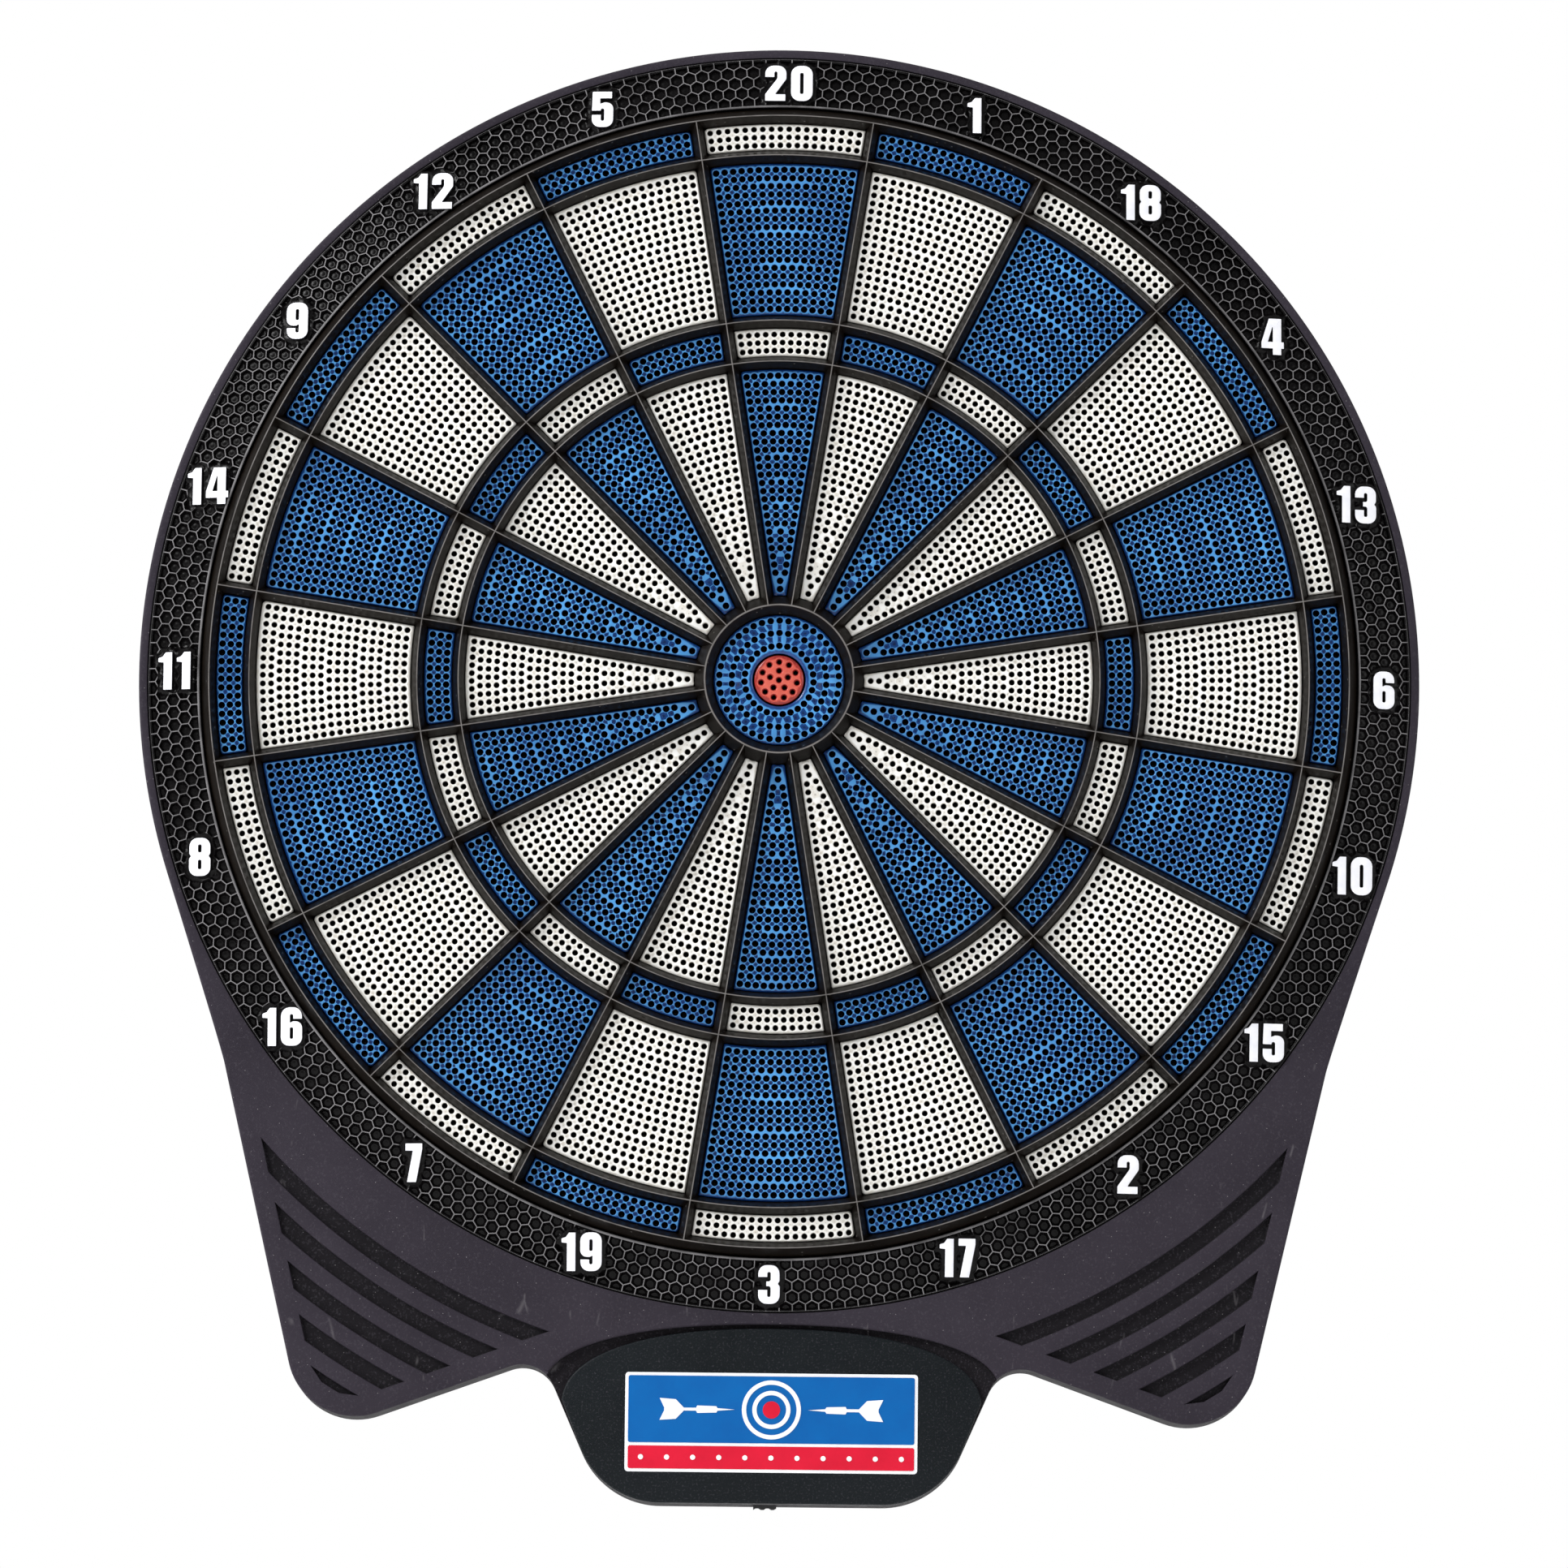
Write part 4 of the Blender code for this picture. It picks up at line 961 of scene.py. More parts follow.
def build_spider():
    shell = Shell()
    reaches = [(BULL_RIB_OUTSIDE, RIB_HALF)] + [(RIB_HALF, RIB_HALF)] * 3
    for index in range(len(NUMBERS)):
        for inner, outer, (reach_in, reach_out) in zip(RIDGES, RIDGES[1:], reaches):
            rib_cell(shell, index, inner, outer, reach_in, reach_out)
    foot = SEGMENT_FRONT - EDGE_DROP
    bull = [
        (RIDGES[0] - BULL_RIB_INSIDE * share, SPIDER_FRONT - (SPIDER_FRONT - foot) * fall)
        for share, fall in RIB_PROFILE
    ]
    bull += [(bull[-1][0], SPIDER_BACK), (RIDGES[0], SPIDER_BACK)]
    for profile in (bull, rim_profile()):
        shell.turn(profile, start=SECTOR / 2)
    add_piece("spider_moulding", shell, SPIDER, "spider_plastic", ("spider",))


def rim_profile():
    """The spider's rim, from the last ridge out, down and back in under the ribs."""
    return [(RIDGES[-1], SPIDER_FRONT)] + SPIDER_RIM + [(RIDGES[-1], SPIDER_BACK)]


# Numerals: corners as (x, height, rounding) in millimetres, and counters in the same way
DIGITS = {
    "0": (7.6, [
        oblong(0, 7.6, 0, 13.2, 3.2),
        oblong(3.2, 4.4, 2.7, 10.5),
    ]),
    "1": (4.9, [
        [(1.9, 0, .15), (1.9, 9.5, .15), (0, 9.7, .2), (0, 11.1, .4), (1.5, 11.6, .6), (2.6, 13.1, .4),
         (4.9, 13.1, .15), (4.9, 0, .15)],
    ]),
    "2": (7.4, [
        [(0, 0, .15), (0, 2.5, .8), (4.2, 8.4, 1.6), (4.2, 10.9, .5), (3.2, 10.9, .5), (3.2, 8.9, .15),
         (0, 8.9, .15), (0, 13.2, 2.9), (7.4, 13.2, 2.9), (7.4, 8.2, 1.6), (3.5, 2.5, .2), (7.1, 2.5, .15),
         (7.1, 0, .15)],
    ]),
    "3": (7.5, [
        [(0, 0, 2.9), (0, 4.8, .15), (3.2, 4.8, .15), (3.2, 2.4, .5), (4.3, 2.4, .5), (4.3, 6.0, .7),
         (2.8, 6.0, .15), (2.8, 7.7, .15), (4.3, 7.7, .7), (4.3, 10.8, .5), (3.2, 10.8, .5), (3.2, 9.1, .15),
         (0, 9.1, .15), (0, 13.2, 2.9), (7.4, 13.2, 2.9), (7.4, 7.6, 1.3), (6.7, 6.9, .5), (7.5, 6.1, 1.3),
         (7.5, 0, 2.9)],
    ]),
    "4": (7.9, [
        [(4.0, 0, .15), (4.0, 2.3, .15), (0, 2.3, .2), (0, 4.6, .3), (2.6, 13.1, .2), (7.0, 13.1, .2),
         (7.0, 4.7, .15), (7.9, 4.7, .15), (7.9, 2.3, .15), (7.0, 2.3, .15), (7.0, 0, .15)],
        [(2.3, 4.7, .1), (4.0, 10.6, .1), (4.0, 4.7, .1)],
    ]),
    "5": (7.5, [
        [(0, 0, 2.9), (0, 4.6, .15), (3.2, 4.6, .15), (3.2, 2.4, .5), (4.3, 2.4, .5), (4.3, 6.9, .5),
         (3.2, 6.9, .5), (3.1, 6.1, .15), (0, 6.1, .15), (.2, 13.2, .2), (7.0, 13.2, .15), (7.0, 10.7, .15),
         (2.9, 10.7, .15), (2.9, 8.7, .15), (4.3, 9.2, .4), (7.5, 9.2, 2.4), (7.5, 0, 2.9)],
    ]),
    "6": (7.5, [
        [(0, 0, 2.9), (0, 13.2, 3.0), (7.4, 13.2, 3.0), (7.4, 9.2, .15), (4.3, 9.2, .15), (4.3, 10.8, .5),
         (3.2, 10.8, .5), (3.2, 7.9, .15), (4.2, 8.4, .4), (7.5, 8.4, 2.3), (7.5, 0, 2.9)],
        oblong(3.2, 4.3, 2.4, 6.3),
    ]),
    "7": (5.9, [
        [(.6, 0, .15), (2.6, 10.7, .2), (0, 10.7, .15), (0, 13.2, .2), (5.9, 13.2, .2), (5.9, 11.2, .6),
         (3.8, 0, .15)],
    ]),
    "8": (7.6, [
        [(0, 0, 2.9), (0, 6.2, 1.3), (.8, 6.9, .5), (.1, 7.6, 1.3), (.1, 13.2, 2.9), (7.5, 13.2, 2.9),
         (7.5, 7.6, 1.3), (6.8, 6.9, .5), (7.6, 6.2, 1.3), (7.6, 0, 2.9)],
        oblong(3.2, 4.4, 2.4, 5.6),
        oblong(3.2, 4.4, 8.2, 10.9),
    ]),
}


def digit_outlines(digit):
    """Width and outlines of a digit. A nine is a six turned upside down."""
    if digit == "9":
        width, loops = digit_outlines("6")
        size = Vector((width, NUMERAL_HEIGHT))
        return width, [[size - p for p in loop] for loop in loops]
    width, corners = DIGITS[digit]
    return width * MM, [[p * MM for p in rounded(loop)] for loop in corners]


def numeral_outlines(index):
    """The digits of one number, upright and centred on its place in the ring."""
    digits = [digit_outlines(d) for d in str(NUMBERS[index])]
    total = sum(width for width, _ in digits) + NUMERAL_GAP * (len(digits) - 1)
    corner = polar(NUMERAL_CIRCLE, index * SECTOR + NUMERAL_TWIST) - Vector((total, NUMERAL_HEIGHT)) / 2
    placed = []
    for width, loops in digits:
        placed.append([[corner + p for p in loop] for loop in loops])
        corner = corner + Vector((width + NUMERAL_GAP, 0.0))
    return placed


NUMERALS = [numeral_outlines(index) for index in range(len(NUMBERS))]


def cone_depth(radius):
    """Depth of the number ring's cell ridges at a radius."""
    return RING_INNER_FRONT + (radius - RING_INNER) * CONE_SLOPE


def on_cone(points, above):
    return [cone_depth(p.length) + above for p in points]


def distance_to_edge(point, a, b):
    along = b - a
    share = max(0.0, min(1.0, (point - a).dot(along) / max(along.length_squared, WELD**2)))
    return (point - a - along * share).length


def relief_at(point, angle):
    """1 out among the cells, falling to 0 close to a numeral."""
    index = round(angle / SECTOR) % len(NUMBERS)
    edges = [loop for digit in NUMERALS[index] for loop in digit[:1]]
    middle = polar(NUMERAL_CIRCLE, index * SECTOR)
    if (point - middle).length > NUMERAL_REACH:
        return 1.0
    nearest = min(
        distance_to_edge(point, a, b) for loop in edges for a, b in zip(loop, loop[1:] + loop[:1])
    )
    if any(holds(loop, point) for loop in edges):
        nearest = 0.0
    none, full = NUMERAL_CLEAR
    return max(0.0, min(1.0, (nearest - none) / (full - none)))


def cell_corners():
    """Twelve points round a cell, as (share of the pitch across, reach along the radius)."""
    tips = [(0.0, 1.0), (0.5, 0.5), (0.5, -0.5), (0.0, -1.0), (-0.5, -0.5), (-0.5, 0.5)]
    points = []
    for a, b in zip(tips, tips[1:] + tips[:1]):
        points += [a, ((a[0] + b[0]) / 2, (a[1] + b[1]) / 2)]
    return points


def cell_fall(below, relief):
    """How far a point of a cell lies below the ridges, from a depth in millimetres."""
    return (below * relief + CELL_FLAT * (1 - relief)) * MM


def build_cell(shell, angle, row_radius, corners):
    """One hexagonal cell, from its ridges down to a slightly domed floor."""
    centre = polar(row_radius, angle)
    hexagon = []
    for across, up in corners:
        radius = min(CELL_BAND[1], max(CELL_BAND[0], row_radius + up * CELL_REACH))
        hexagon.append(polar(radius, angle + across * CELL_PITCH))
    steps = []
    for share, roundness, below in CELL_LOOPS:
        loop = []
        for point in hexagon:
            spoke = point - centre
            rounder = spoke.normalized() * CELL_REACH * CELL_ROUND
            loop.append(centre + spoke.lerp(rounder, roundness) * share)
        steps.append((loop, [cone_depth(p.length) - cell_fall(below, relief_at(p, angle)) for p in loop]))
    rows = shell.sweep(steps)
    shell.fan(rows[-1], centre, cone_depth(centre.length) - cell_fall(CELL_DOME, relief_at(centre, angle)))


def build_number_ring():
    shell = Shell()
    corners = cell_corners()
    for k in range(CELL_ROWS):
        for j in range(CELLS_PER_ROW):
            angle = (j + 0.5 * (k % 2)) * CELL_PITCH
            build_cell(shell, angle, CELL_FIRST_ROW + k * 1.5 * CELL_REACH, corners)
    profile = [
        (RING_INNER, RING_INNER_FRONT - INNER_LIP_EDGE[1]),
        (RING_INNER + INNER_LIP_EDGE[0], RING_INNER_FRONT),
        *((RING_INNER + moved, cone_depth(RING_INNER + moved) + above) for moved, above in INNER_LIP),
        *((RING_OUTER - moved, cone_depth(RING_OUTER) - below) for moved, below in OUTER_LIP),
        (RING_OUTER - OUTER_LIP_EDGE[0], RING_OUTER_FRONT),
        (RING_OUTER, RING_OUTER_FRONT - OUTER_LIP_EDGE[1]),
        (RING_OUTER, RING_BACK),
        (RING_STEP_RADIUS, RING_BACK),
        (RING_STEP_RADIUS, RING_STEP_BACK),
        (RING_INNER, RING_STEP_BACK),
    ]
    shell.ring(profile)
    add_piece("number_ring_moulding", shell, RING, "ring_plastic", ("number_ring",))


def raised_outline(shell, loops, steps):
    """A raised shape with counters: each step is (how far the edge moves in, height above the cone)."""
    tops = []
    for i, loop in enumerate(loops):
        edges = [(inset(loop, moved if i == 0 else -moved), above) for moved, above in steps]
        tops.append(shell.sweep([(edge, on_cone(edge, above)) for edge, above in edges])[-1])
    shell.cap(tops[0], tops[1:])


def build_numerals():
    """Each number is a raised black step with drafted sides, and a painted top."""
    parts = (("step", STEP_ROWS, STEP, "ring_plastic"), ("paint", PAINT_ROWS, PAINT, "white_plastic"))
    for number, digits in zip(NUMBERS, NUMERALS):
        for part, rows, material, slot in parts:
            shell = Shell()
            for loops in digits:
                raised_outline(shell, loops, rows)
            add_piece(f"numeral_{number:02d}_{part}", shell, material, slot)


# Housing


def housing_half():
    """Right half of the outline, clockwise from the top."""
    steps = round(ROUND_STEPS * LEAVING_ANGLE / math.tau)
    arc = [polar(HOUSING_RADIUS, LEAVING_ANGLE * i / steps) for i in range(steps + 1)]
    leaving_way = Vector((math.cos(LEAVING_ANGLE), -math.sin(LEAVING_ANGLE)))
    side_way = FOOT_CORNER - SIDE_START
    control = meeting_point(arc[-1], leaving_way, SIDE_START, side_way)
    flank = []
    for i in range(1, FILLET_STEPS + 1):
        t = i / FILLET_STEPS
        flank.append(arc[-1] * (1 - t) ** 2 + control * 2 * t * (1 - t) + SIDE_START * t**2)
    far_tab_corner = Vector((-TAB_CORNER.x, TAB_CORNER.y))
    foot = fillet(SIDE_START, FOOT_CORNER, VALLEY_CORNER, FOOT_FILLET)
    valley = fillet(FOOT_CORNER, VALLEY_CORNER, TAB_CORNER, VALLEY_FILLET)
    tab = fillet(VALLEY_CORNER, TAB_CORNER, far_tab_corner, TAB_FILLET)
    return arc + flank + foot + valley + tab


HALF = housing_half()
OUTLINE = HALF + mirrored(HALF)[:-1]


def half_oval(half_width, base, rise):
    """Upper half of a superellipse, from its left end over to its right end."""
    points = []
    for i in range(BADGE_STEPS + 1):
        turn = math.pi * (1 - i / BADGE_STEPS)
        across = math.copysign(abs(math.cos(turn)) ** (2 / BADGE_POWER), math.cos(turn))
        points.append(Vector((half_width * across, base + rise * math.sin(turn) ** (2 / BADGE_POWER))))
    return points


def groove_field():
    """The part of the right wing that grooves may fill, closed at the board's centre."""
    foot = fillet(SIDE_START, FOOT_CORNER, VALLEY_CORNER, FOOT_FILLET)
    inner_end = VALLEY_CORNER + (VALLEY_CORNER - FOOT_CORNER) * 0.5
    return inset([Vector((0.0, 0.0)), SIDE_START] + foot + [inner_end], GROOVE_MARGIN)


def reach(field, angle):
    """Distance from the board's centre to the edge of the field along a direction."""
    way = polar(1.0, angle)
    for a, b in zip(field[1:], field[2:]):
        if way.cross(a) * way.cross(b) <= 0:
            crossing = meeting_point(Vector((0.0, 0.0)), way, a, b - a)
            if crossing.dot(way) > 0:
                return crossing.length
    return 0.0


def angle_at_reach(field, radius, spread):
    """The direction, between the foot and a spread away from it, where the field ends at a radius."""
    inside = FOOT_DIRECTION
    outside = FOOT_DIRECTION + spread
    for _ in range(HALVINGS):
        middle = (inside + outside) / 2
        if reach(field, middle) > radius:
            inside = middle
        else:
            outside = middle
    return inside


def groove(field, index):
    """One groove of the right wing: an arc-shaped slot that tapers to a point at both ends."""
    inner = GROOVE_FIRST_RADIUS + index * GROOVE_PITCH
    outer = min(inner + GROOVE_WIDTH, reach(field, FOOT_DIRECTION) - SMALL_GAP)
    tips = [angle_at_reach(field, inner, s) for s in GROOVE_SPREADS]
    ends = [angle_at_reach(field, outer, s) for s in GROOVE_SPREADS]
    angles = [ends[0] + (ends[1] - ends[0]) * i / GROOVE_STEPS for i in range(GROOVE_STEPS + 1)]
    near_edge = [polar(inner, a) for a in [tips[0]] + angles + [tips[1]]]
    far_edge = [polar(outer, a) for a in reversed(angles)]
    return near_edge + far_edge


def quarter_round(loop, radius, front, steps=CORNER_STEPS):
    """Rows that round an outer edge over, from the side wall to the face."""
    rows = []
    for i in range(steps + 1):
        turn = math.pi / 2 * i / steps
        rows.append((inset(loop, radius * (1 - math.cos(turn))), front - radius * (1 - math.sin(turn))))
    return rows


def crossing(line, other):
    """Where two open lines of points cross: the last point before it on each line, and the point itself."""
    for i, (a, b) in enumerate(zip(line, line[1:])):
        for k, (c, d) in enumerate(zip(other, other[1:])):
            flat = (b - a).cross(d - c)
            if flat == 0.0:
                continue
            if 0 <= (c - a).cross(d - c) / flat < 1 and 0 <= (c - a).cross(b - a) / flat < 1:
                return i, k, meeting_point(a, b - a, c, d - c)


def build_housing():
    """The apron's face ends in a lip at the valley, and the badge panel's seat lies below it."""
    valley = half_oval(VALLEY_HALF_WIDTH, VALLEY_BASE, VALLEY_RISE)[BADGE_STEPS // 2:]
    outline_stop, valley_stop, join = crossing(HALF, valley)
    apron = HALF[:outline_stop + 1] + [join]
    tab = [join] + HALF[outline_stop + 1:]
    valley = valley[:valley_stop + 1] + [join]
    valley_line = mirrored(valley)[:-1] + valley
    apron_line = mirrored(apron)[:-1] + apron
    tab_line = tab[1:] + mirrored(tab)[:-1]
    outline = apron + tab_line + mirrored(apron)[:-1]

    shell = Shell()
    face_edge = apron + valley_line[-2:0:-1] + mirrored(apron)[:-1]
    rows = shell.sweep(quarter_round(face_edge, LIP_ROUND, HOUSING_FRONT))
    opening = shell.turn([
        (HOUSING_OPENING, OPENING_BACK),
        *((HOUSING_OPENING + wider, HOUSING_FRONT - below) for wider, below in OPENING_EDGE),
    ])
    field = groove_field()
    right_grooves = [groove(field, index) for index in range(GROOVE_COUNT)]
    groove_rows = []
    for loop in right_grooves + [mirrored(g) for g in right_grooves]:
        groove_rows.append(sunk_groove(shell, loop))
    shell.cap(rows[-1], [opening[-1], *groove_rows])

    lip = HOUSING_FRONT - LIP_ROUND
    seat = BADGE_BACK - SMALL_GAP
    for line in (apron_line, valley_line):
        shell.sweep([(line, lip), (line, seat)], closed=False)
    shell.cap(shell.row(valley_line + tab_line, seat))
    inner_edge = inset(outline, WALL)
    tiers = shell.sweep([
        (outline, seat), (outline, BACK_EDGE), (inset(outline, BACK_EDGE), 0.0), (inner_edge, 0.0),
        (inner_edge, FACE_BACK),
    ])
    shell.turn([(HOUSING_OPENING, OPENING_BACK), *SHELF])
    shell.cap(tiers[-1], [shell.row(circle(HOUSING_OPENING), FACE_BACK)])
    add_piece("front_housing_moulding", shell, HOUSING, "housing_plastic", ("front_housing",))


def sunk_groove(shell, loop):
    """A groove with a rounded rim and drafted walls. Returns the row where it meets the face."""
    edge = GROOVE_EDGE
    rows = shell.sweep([
        (inset(loop, -edge), HOUSING_FRONT),
        (inset(loop, -edge * 0.3), HOUSING_FRONT - edge * 0.25),
        (loop, HOUSING_FRONT - edge),
        (inset(loop, edge * 0.6), HOUSING_FRONT - GROOVE_DEPTH + edge * 0.5),
        (inset(loop, edge * 1.4), HOUSING_FRONT - GROOVE_DEPTH),
    ])
    shell.cap(rows[-1])
    return rows[0]


def build_badge():
    shell = Shell()
    right = [p for p in HALF if p.y < BADGE_BASE and p.x < BADGE_HALF_WIDTH]
    edge = half_oval(BADGE_HALF_WIDTH, BADGE_BASE, BADGE_RISE)[1:-1] + right + mirrored(right)[1:]
    rows = shell.sweep([(edge, BADGE_BACK), *quarter_round(edge, BADGE_ROUND, BADGE_FRONT, BADGE_ROUND_STEPS)])
    shell.cap(rows[-1])
    shell.cap(rows[0])
    add_piece("badge_panel_moulding", shell, BADGE, "badge_plastic", ("badge_panel",))


def plates(name, shapes, back, front, material, stands_for=()):
    """Thin flat shapes as one piece. Each shape is a list of its outline and the outlines of its holes."""
    shell = Shell()
    for loops in shapes:
        backs, fronts = [], []
        for i, loop in enumerate(loops):
            step_in = inset(loop, LABEL_EDGE if i == 0 else -LABEL_EDGE)
            rows = shell.sweep([(loop, back), (loop, front - LABEL_EDGE), (step_in, front)])
            backs.append(rows[0])
            fronts.append(rows[-1])
        shell.cap(fronts[0], fronts[1:])
        shell.cap(backs[0], backs[1:])
    add_piece(name, shell, material, "label_print", stands_for)


def panel(low, high, radius):
    """A rectangle with rounded corners between two opposite corners."""
    return rounded(oblong(low.x, high.x, low.y, high.y, radius))


def dart_outline(tip, way):
    """A plain dart lying flat, with its point towards the middle of the label."""
    points = [Vector(p) * MM for p in DART_SIDE + tuple((x, -y) for x, y in reversed(DART_SIDE[1:]))]
    return [tip + Vector((p.x * way, p.y)) for p in points]


def build_label():
    half = LABEL_SIZE / 2
    low, high = LABEL_CENTRE - half, LABEL_CENTRE + half
    border = Vector((LABEL_BORDER, LABEL_BORDER))
    split = low.y + LABEL_BORDER + LABEL_STRIP
    field_low = Vector((low.x + LABEL_BORDER, split + LABEL_BORDER))
    middle = Vector((0.0, (field_low.y + high.y - LABEL_BORDER) / 2))
    strip_middle = (low.y + LABEL_BORDER + split) / 2
    base = LABEL_BACK + LABEL_STEP
    ink = base + LABEL_STEP
    card = [[panel(low, high, LABEL_CORNER)]]
    field = [[panel(field_low, high - border, FIELD_CORNER)]]
    strip = [[panel(low + border, Vector((high.x - LABEL_BORDER, split)), FIELD_CORNER)]]
    rings = []
    for radius in LABEL_RINGS:
        rings.append([circle(r, LABEL_RING_STEPS, middle) for r in (radius, radius - LABEL_RING_WIDTH)])
    darts = [[dart_outline(middle + Vector((DART_PLACE * way, 0.0)), way)] for way in (-1, 1)]
    dots = []
    for k in range(-DOT_REACH, DOT_REACH + 1):
        dots.append([circle(DOT_RADIUS, DOT_STEPS, Vector((k * DOT_PITCH, strip_middle)))])
    bull = [[circle(LABEL_BULL, PART_STEPS, middle)]]
    plates("badge_label_card", card, LABEL_BACK, base, LABEL_WHITE, ("badge_label",))
    plates("badge_label_field", field, base, ink, LABEL_BLUE)
    plates("badge_label_strip", strip, base, ink, LABEL_RED)
    plates("badge_label_motif", rings + darts + dots, ink, ink + LABEL_STEP, LABEL_WHITE)
    plates("badge_label_bull", bull, ink, ink + LABEL_STEP, LABEL_RED)


# Behind


def keyhole(centre):
    """Square entry for a screw head, with a narrow slot above it for the shank."""
    slot = KEYHOLE_SLOT_HALF
    half = KEYHOLE_ENTRY_HALF
    right = [(slot, KEYHOLE_RISE + slot), (slot, half), (half, half), (half, -half)]
    return [centre + Vector(p) for p in right + [(-x, z) for x, z in reversed(right)]]


def grille_slot(index):
    across = (index - (GRILLE_SLOTS - 1) / 2) * GRILLE_PITCH
    half_size = Vector((math.sqrt(GRILLE_REACH**2 - across**2), GRILLE_HALF_WIDTH))
    centre = SPEAKER_CENTRE + Vector((0.0, across))
    return panel(centre - half_size, centre + half_size, GRILLE_HALF_WIDTH * GRILLE_ROUNDNESS)


def screw_places():
    return [polar(SCREW_CIRCLE, a) for a in SCREW_ANGLES] + APRON_SCREWS + mirrored(APRON_SCREWS)


def pocket(shell, loop, top, floor, draft=0.0):
    """A closed hollow or boss from one depth to another. Returns the row at its mouth."""
    rows = shell.sweep([(loop, top), (inset(loop, draft), floor)])
    shell.cap(rows[-1])
    return rows[0]


def build_rear_cover():
    shell = Shell()
    edge = inset(OUTLINE, COVER_INSET)
    rim = shell.sweep([(inset(edge, COVER_EDGE), 0.0), (edge, COVER_EDGE), (edge, COVER_FRONT)])
    back_holes, front_holes = [], []
    for centre in KEYHOLE_CENTRES:
        middle = centre + HOOD_OFFSET
        mouth = shell.sweep([(keyhole(centre), 0.0), (keyhole(centre), COVER_FRONT)])
        room = pocket(shell, box(middle, HOOD_HALF_SIZE), COVER_FRONT, HOOD_DEPTHS[0])
        shell.cap(room, [mouth[-1]])
        back_holes.append(mouth[0])
        hood = box(middle, HOOD_HALF_SIZE + HOOD_WALL)
        front_holes.append(pocket(shell, hood, COVER_FRONT, HOOD_DEPTHS[1]))
    back_holes.append(pocket(shell, box(BAY_CENTRE, BAY_HALF_SIZE), 0.0, BAY_DEPTH))
    bay_wall = BAY_HALF_SIZE + Vector((BAY_WALL, BAY_WALL))
    front_holes.append(pocket(shell, box(BAY_CENTRE, bay_wall), COVER_FRONT, BAY_DEPTH + BAY_WALL))
    slots = []
    for slot in (grille_slot(i) for i in range(GRILLE_SLOTS)):
        slots.append(shell.sweep([(slot, 0.0), (slot, COVER_FRONT)]))
    back_holes += [rows[0] for rows in slots]
    outer, inner = COLLAR
    profile = [(outer, COVER_FRONT), (outer, COLLAR_FRONT), (inner, COLLAR_FRONT), (inner, COVER_FRONT)]
    collar = shell.turn(profile, SMALL_STEPS, SPEAKER_CENTRE)
    front_holes.append(collar[0])
    shell.cap(collar[-1], [rows[-1] for rows in slots])
    for place_at in screw_places():
        rows = shell.turn(SCREW_WELL, SCREW_STEPS, place_at)
        shell.cap(rows[-1])
        back_holes.append(rows[0])
    spokes = []
    for index in range(PRESSED_SPOKES):
        turn = Matrix.Rotation(-math.tau * (index + 0.5) / PRESSED_SPOKES, 2)
        spoke = [turn @ p for p in bar(0.0, SPOKE_REACH, SPOKE_HALF_WIDTH)]
        spokes.append(pocket(shell, spoke, 0.0, PRESSED_DEPTH, PRESSED_DEPTH / 2))
    region, holes = rim[0], back_holes
    draft = PRESSED_DEPTH / 2
    for outer_radius, inner_radius in PRESSED_RINGS:
        rows = shell.turn([
            (outer_radius, 0.0), (outer_radius - draft, PRESSED_DEPTH),
            (inner_radius + draft, PRESSED_DEPTH), (inner_radius, 0.0),
        ])
        shell.cap(region, holes + [rows[0]])
        region, holes = rows[-1], spokes
        spokes = []
    shell.cap(region)
    shell.cap(rim[-1], front_holes)
    foot = COVER_FRONT - SMALL_GAP
    low, high = SUPPORT_RING
    shell.ring([(low, foot), (low, HOOD_DEPTHS[1]), (high, HOOD_DEPTHS[1]), (high, foot)])
    add_piece("rear_cover_moulding", shell, COVER, "housing_plastic", ("rear_cover",))


def build_screws():
    """Countersunk heads with a cross recess, in the wells of the rear cover."""
    shell = Shell()
    arm, half = SCREW_SLOT
    quarter = [(half, arm), (half, half), (arm, half)]
    cross = []
    for turn in range(4):
        spin = Matrix.Rotation(-turn * math.pi / 2, 2)
        cross += [spin @ Vector(p) for p in quarter]
    for index, place_at in enumerate(screw_places()):
        spin = Matrix.Rotation(index * SCREW_TURN, 2)
        rows = shell.turn(SCREW_HEAD, SCREW_STEPS, place_at)
        recess = [place_at + spin @ p for p in cross]
        mouth = pocket(shell, recess, SCREW_HEAD[-1][1], SCREW_DRIVE_DEPTH, SCREW_DRIVE_DRAFT)
        shell.cap(rows[-1], [mouth])
        shell.cap(rows[0])
    add_piece("case_screws", shell, STEEL, "speaker_metal")


def build_battery_door():
    shell = Shell()
    edge = panel(BAY_CENTRE - DOOR_HALF_SIZE, BAY_CENTRE + DOOR_HALF_SIZE, DOOR_CORNER)
    back, front = DOOR_DEPTHS
    rows = shell.sweep([(inset(edge, DOOR_EDGE), back), (edge, back + DOOR_EDGE), (edge, front)])
    thumb = circle(THUMB_RADIUS, PART_STEPS, BAY_CENTRE + Vector((0.0, THUMB_RISE)))
    sunk = [pocket(shell, thumb, back, back + THUMB_DEPTH, THUMB_DRAFT)]
    for index in range(GRIP_COUNT):
        centre = BAY_CENTRE + Vector((0.0, GRIP_FIRST + index * GRIP_PITCH))
        grip = panel(centre - GRIP_HALF_SIZE, centre + GRIP_HALF_SIZE, GRIP_CORNER)
        sunk.append(pocket(shell, grip, back, back + GRIP_DEPTH, GRIP_DRAFT))
    shell.cap(rows[0], sunk)
    shell.cap(rows[-1])
    add_piece("battery_door_moulding", shell, COVER, "housing_plastic", ("battery_door",), "battery_door")


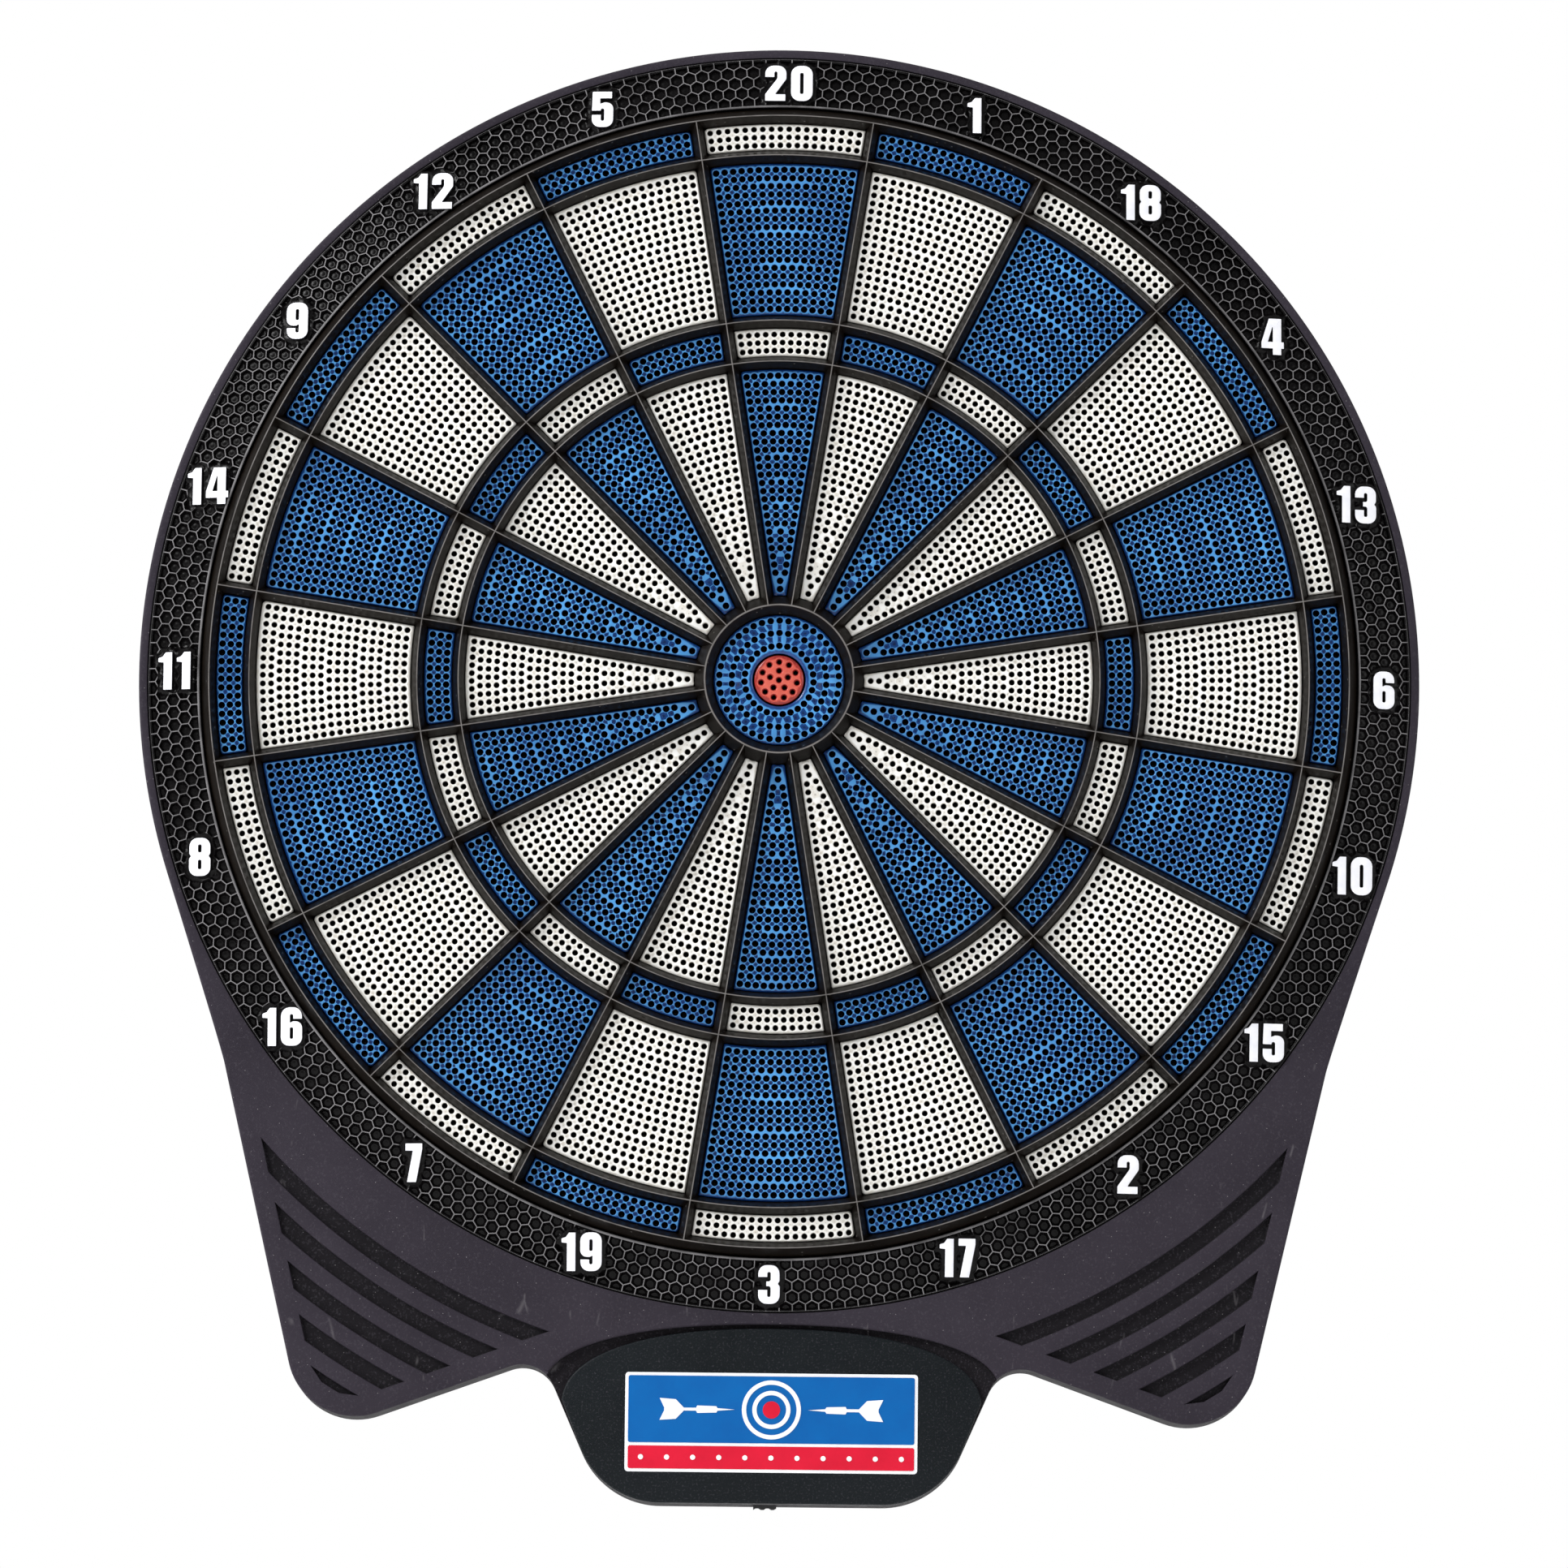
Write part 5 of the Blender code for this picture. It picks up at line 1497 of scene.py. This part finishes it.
def upright(shell, centre, profile):
    """Turns (radius, height) points about a vertical axis through a centre."""
    rows = []
    for radius, height in profile:
        first = len(shell.vertices)
        for i in range(PART_STEPS):
            turn = math.tau * i / PART_STEPS
            across, out = radius * math.cos(turn), radius * math.sin(turn)
            shell.vertices.append((centre.x + across, centre.y + out, height))
        rows.append(list(range(first, first + PART_STEPS)))
    for a, b in zip(rows, rows[1:]):
        shell.band(a, b)
    shell.faces += [tuple(rows[0]), tuple(rows[-1])]


def build_batteries():
    """Cells that lie side by side, the middle one the other way up."""
    for index in range(3):
        node = f"battery_{index + 1}"
        low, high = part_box(node)
        centre = Vector(((low.x + high.x) / 2, (low.y + high.y) / 2))
        start, way = (high.z, -1) if index == 1 else (low.z, 1)
        for part, profile, material, stands_for in (
            ("sleeve", CELL_SLEEVE, SLEEVE, (node,)), ("end", CELL_CAP, COPPER, ()),
        ):
            shell = Shell()
            upright(shell, centre, [(r * MM, start + way * z * MM) for r, z in profile])
            add_piece(f"{node}_{part}", shell, material, "cell_sleeve", stands_for)


def build_speaker():
    shell = Shell()
    for profile in (BASKET, BASKET_INSIDE):
        rows = shell.turn(profile, SMALL_STEPS, SPEAKER_CENTRE)
        shell.fan(rows[-1], SPEAKER_CENTRE, profile[-1][1])
    add_piece("speaker_basket", shell, STEEL, "speaker_metal", ("speaker",))

    shell = Shell()
    back = [(r, d + CONE_THICKNESS) for r, d in CONE]
    rows = shell.turn(CONE[::-1] + back, SMALL_STEPS, SPEAKER_CENTRE)
    shell.fan(rows[0], SPEAKER_CENTRE, CONE[-1][1])
    shell.fan(rows[-1], SPEAKER_CENTRE, back[-1][1])
    add_piece("speaker_cone", shell, PAPER, "speaker_metal")


def build_power_switch():
    """The switch cap with a toothed end, on the flange that keeps it in its slot."""
    shell = Shell()
    left, right = SWITCH_X
    bottom, top = SWITCH_Z
    pitch = (right - left) / (2 * SWITCH_TEETH + 1)
    teeth = []
    for index in range(2 * SWITCH_TEETH + 2):
        drop = SWITCH_TOOTH if index % 4 in (0, 3) else 0.0
        teeth.append(Vector((right - index * pitch, bottom + drop)))
    block(shell, [Vector((left, top)), Vector((right, top))] + teeth, *SWITCH_DEPTHS)
    flange = box(
        Vector((sum(FLANGE_X), sum(FLANGE_Z))) / 2,
        Vector((FLANGE_X[1] - FLANGE_X[0], FLANGE_Z[1] - FLANGE_Z[0])) / 2,
    )
    block(shell, flange, *FLANGE_DEPTHS)
    add_piece("power_switch_cap", shell, SWITCH, "switch_plastic", ("power_switch",), "power_switch")


def finish_inner_parts():
    """Finishes for the CAD nodes that keep their own shape."""
    finishes = {
        "rubber_mat": ("black_rubber", (0.018, 0.018, 0.019), (0.034, 0.033, 0.034), 0.85, 70),
        "switch_matrix": ("clear_film", (0.62, 0.60, 0.52), (0.50, 0.47, 0.40), 0.35, 40),
        "ribbon_cable": ("grey_film", (0.42, 0.42, 0.43), (0.33, 0.33, 0.35), 0.4, 180),
        "backing_board": ("hardboard", (0.25, 0.15, 0.08), (0.17, 0.10, 0.05), 0.8, 260),
        "circuit_board": ("green_laminate", (0.02, 0.13, 0.05), (0.01, 0.09, 0.035), 0.4, 130),
        "battery_contact_plate": ("nickel", (0.62, 0.60, 0.56), (0.5, 0.48, 0.45), 0.3, 90, 1.0),
    }
    for name, values in finishes.items():
        finish = plain_material(*values)
        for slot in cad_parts[name].material_slots:
            slot.material = finish


# Camera, light and floor


def build_surroundings(scene):
    """White all round as seen by the camera, and dimmer on the camera's side as a light."""
    world = bpy.data.worlds.new("studio")
    scene.world = world
    world.use_nodes = True
    nodes = Nodes(world.node_tree, "Generated")
    dim = nodes.ramp(nodes.axis("Y"), -1.0, -0.15, 0.22, 1.0)
    strength = nodes.math("MAXIMUM", dim, nodes.add("LightPath", "Is Camera Ray"))
    background = world.node_tree.nodes["Background"]
    nodes.link((1.0, 1.0, 1.0, 1.0), background.inputs["Color"])
    nodes.link(strength, background.inputs["Strength"])


def build_floor(scene):
    mesh = bpy.data.meshes.new("floor")
    corners = [(x * FLOOR_HALF, y * FLOOR_HALF, FLOOR_LEVEL) for x, y in ((-1, -1), (1, -1), (1, 1), (-1, 1))]
    mesh.from_pydata(corners, [], [(0, 1, 2, 3)])
    mesh.materials.append(plain_material("floor_paper", (0.86, 0.86, 0.86), (0.82, 0.82, 0.82), 0.8, 3))
    floor = bpy.data.objects.new("floor", mesh)
    scene.collection.objects.link(floor)


def build_softboxes(scene):
    """Square lamps that face the middle of the board."""
    for name, place_at, width, power in SOFTBOXES:
        light = bpy.data.lights.new(name, "AREA")
        light.shape = "RECTANGLE"
        light.size = light.size_y = width
        light.energy = power
        lamp = bpy.data.objects.new(name, light)
        lamp.location = place_at
        lamp.rotation_euler = (-Vector(place_at)).to_track_quat("-Z", "Y").to_euler()
        scene.collection.objects.link(lamp)


def build_camera(scene):
    """A long lens that looks at the target from slightly below."""
    data = bpy.data.cameras.new("camera")
    data.sensor_width = 36.0
    data.lens = CAMERA_LENS
    data.clip_end = 50.0
    camera = bpy.data.objects.new("camera", data)
    level = math.cos(CAMERA_FROM_BELOW)
    way = Vector((
        math.sin(CAMERA_FROM_RIGHT) * level,
        -math.cos(CAMERA_FROM_RIGHT) * level,
        -math.sin(CAMERA_FROM_BELOW),
    ))
    camera.location = CAMERA_AIM + way * CAMERA_DISTANCE
    camera.rotation_mode = "QUATERNION"
    roll = Matrix.Rotation(CAMERA_ROLL, 4, way).to_quaternion()
    camera.rotation_quaternion = roll @ (-way).to_track_quat("-Z", "Y")
    scene.collection.objects.link(camera)
    scene.camera = camera


def build_stage():
    scene = bpy.context.scene
    scene.view_settings.view_transform = "Standard"
    build_surroundings(scene)
    build_floor(scene)
    build_softboxes(scene)
    build_camera(scene)


build_stage()
build_segments()
build_bulls()
build_spider()
build_number_ring()
build_numerals()
build_housing()
build_badge()
build_label()
build_rear_cover()
build_screws()
build_battery_door()
build_batteries()
build_speaker()
build_power_switch()
finish_inner_parts()
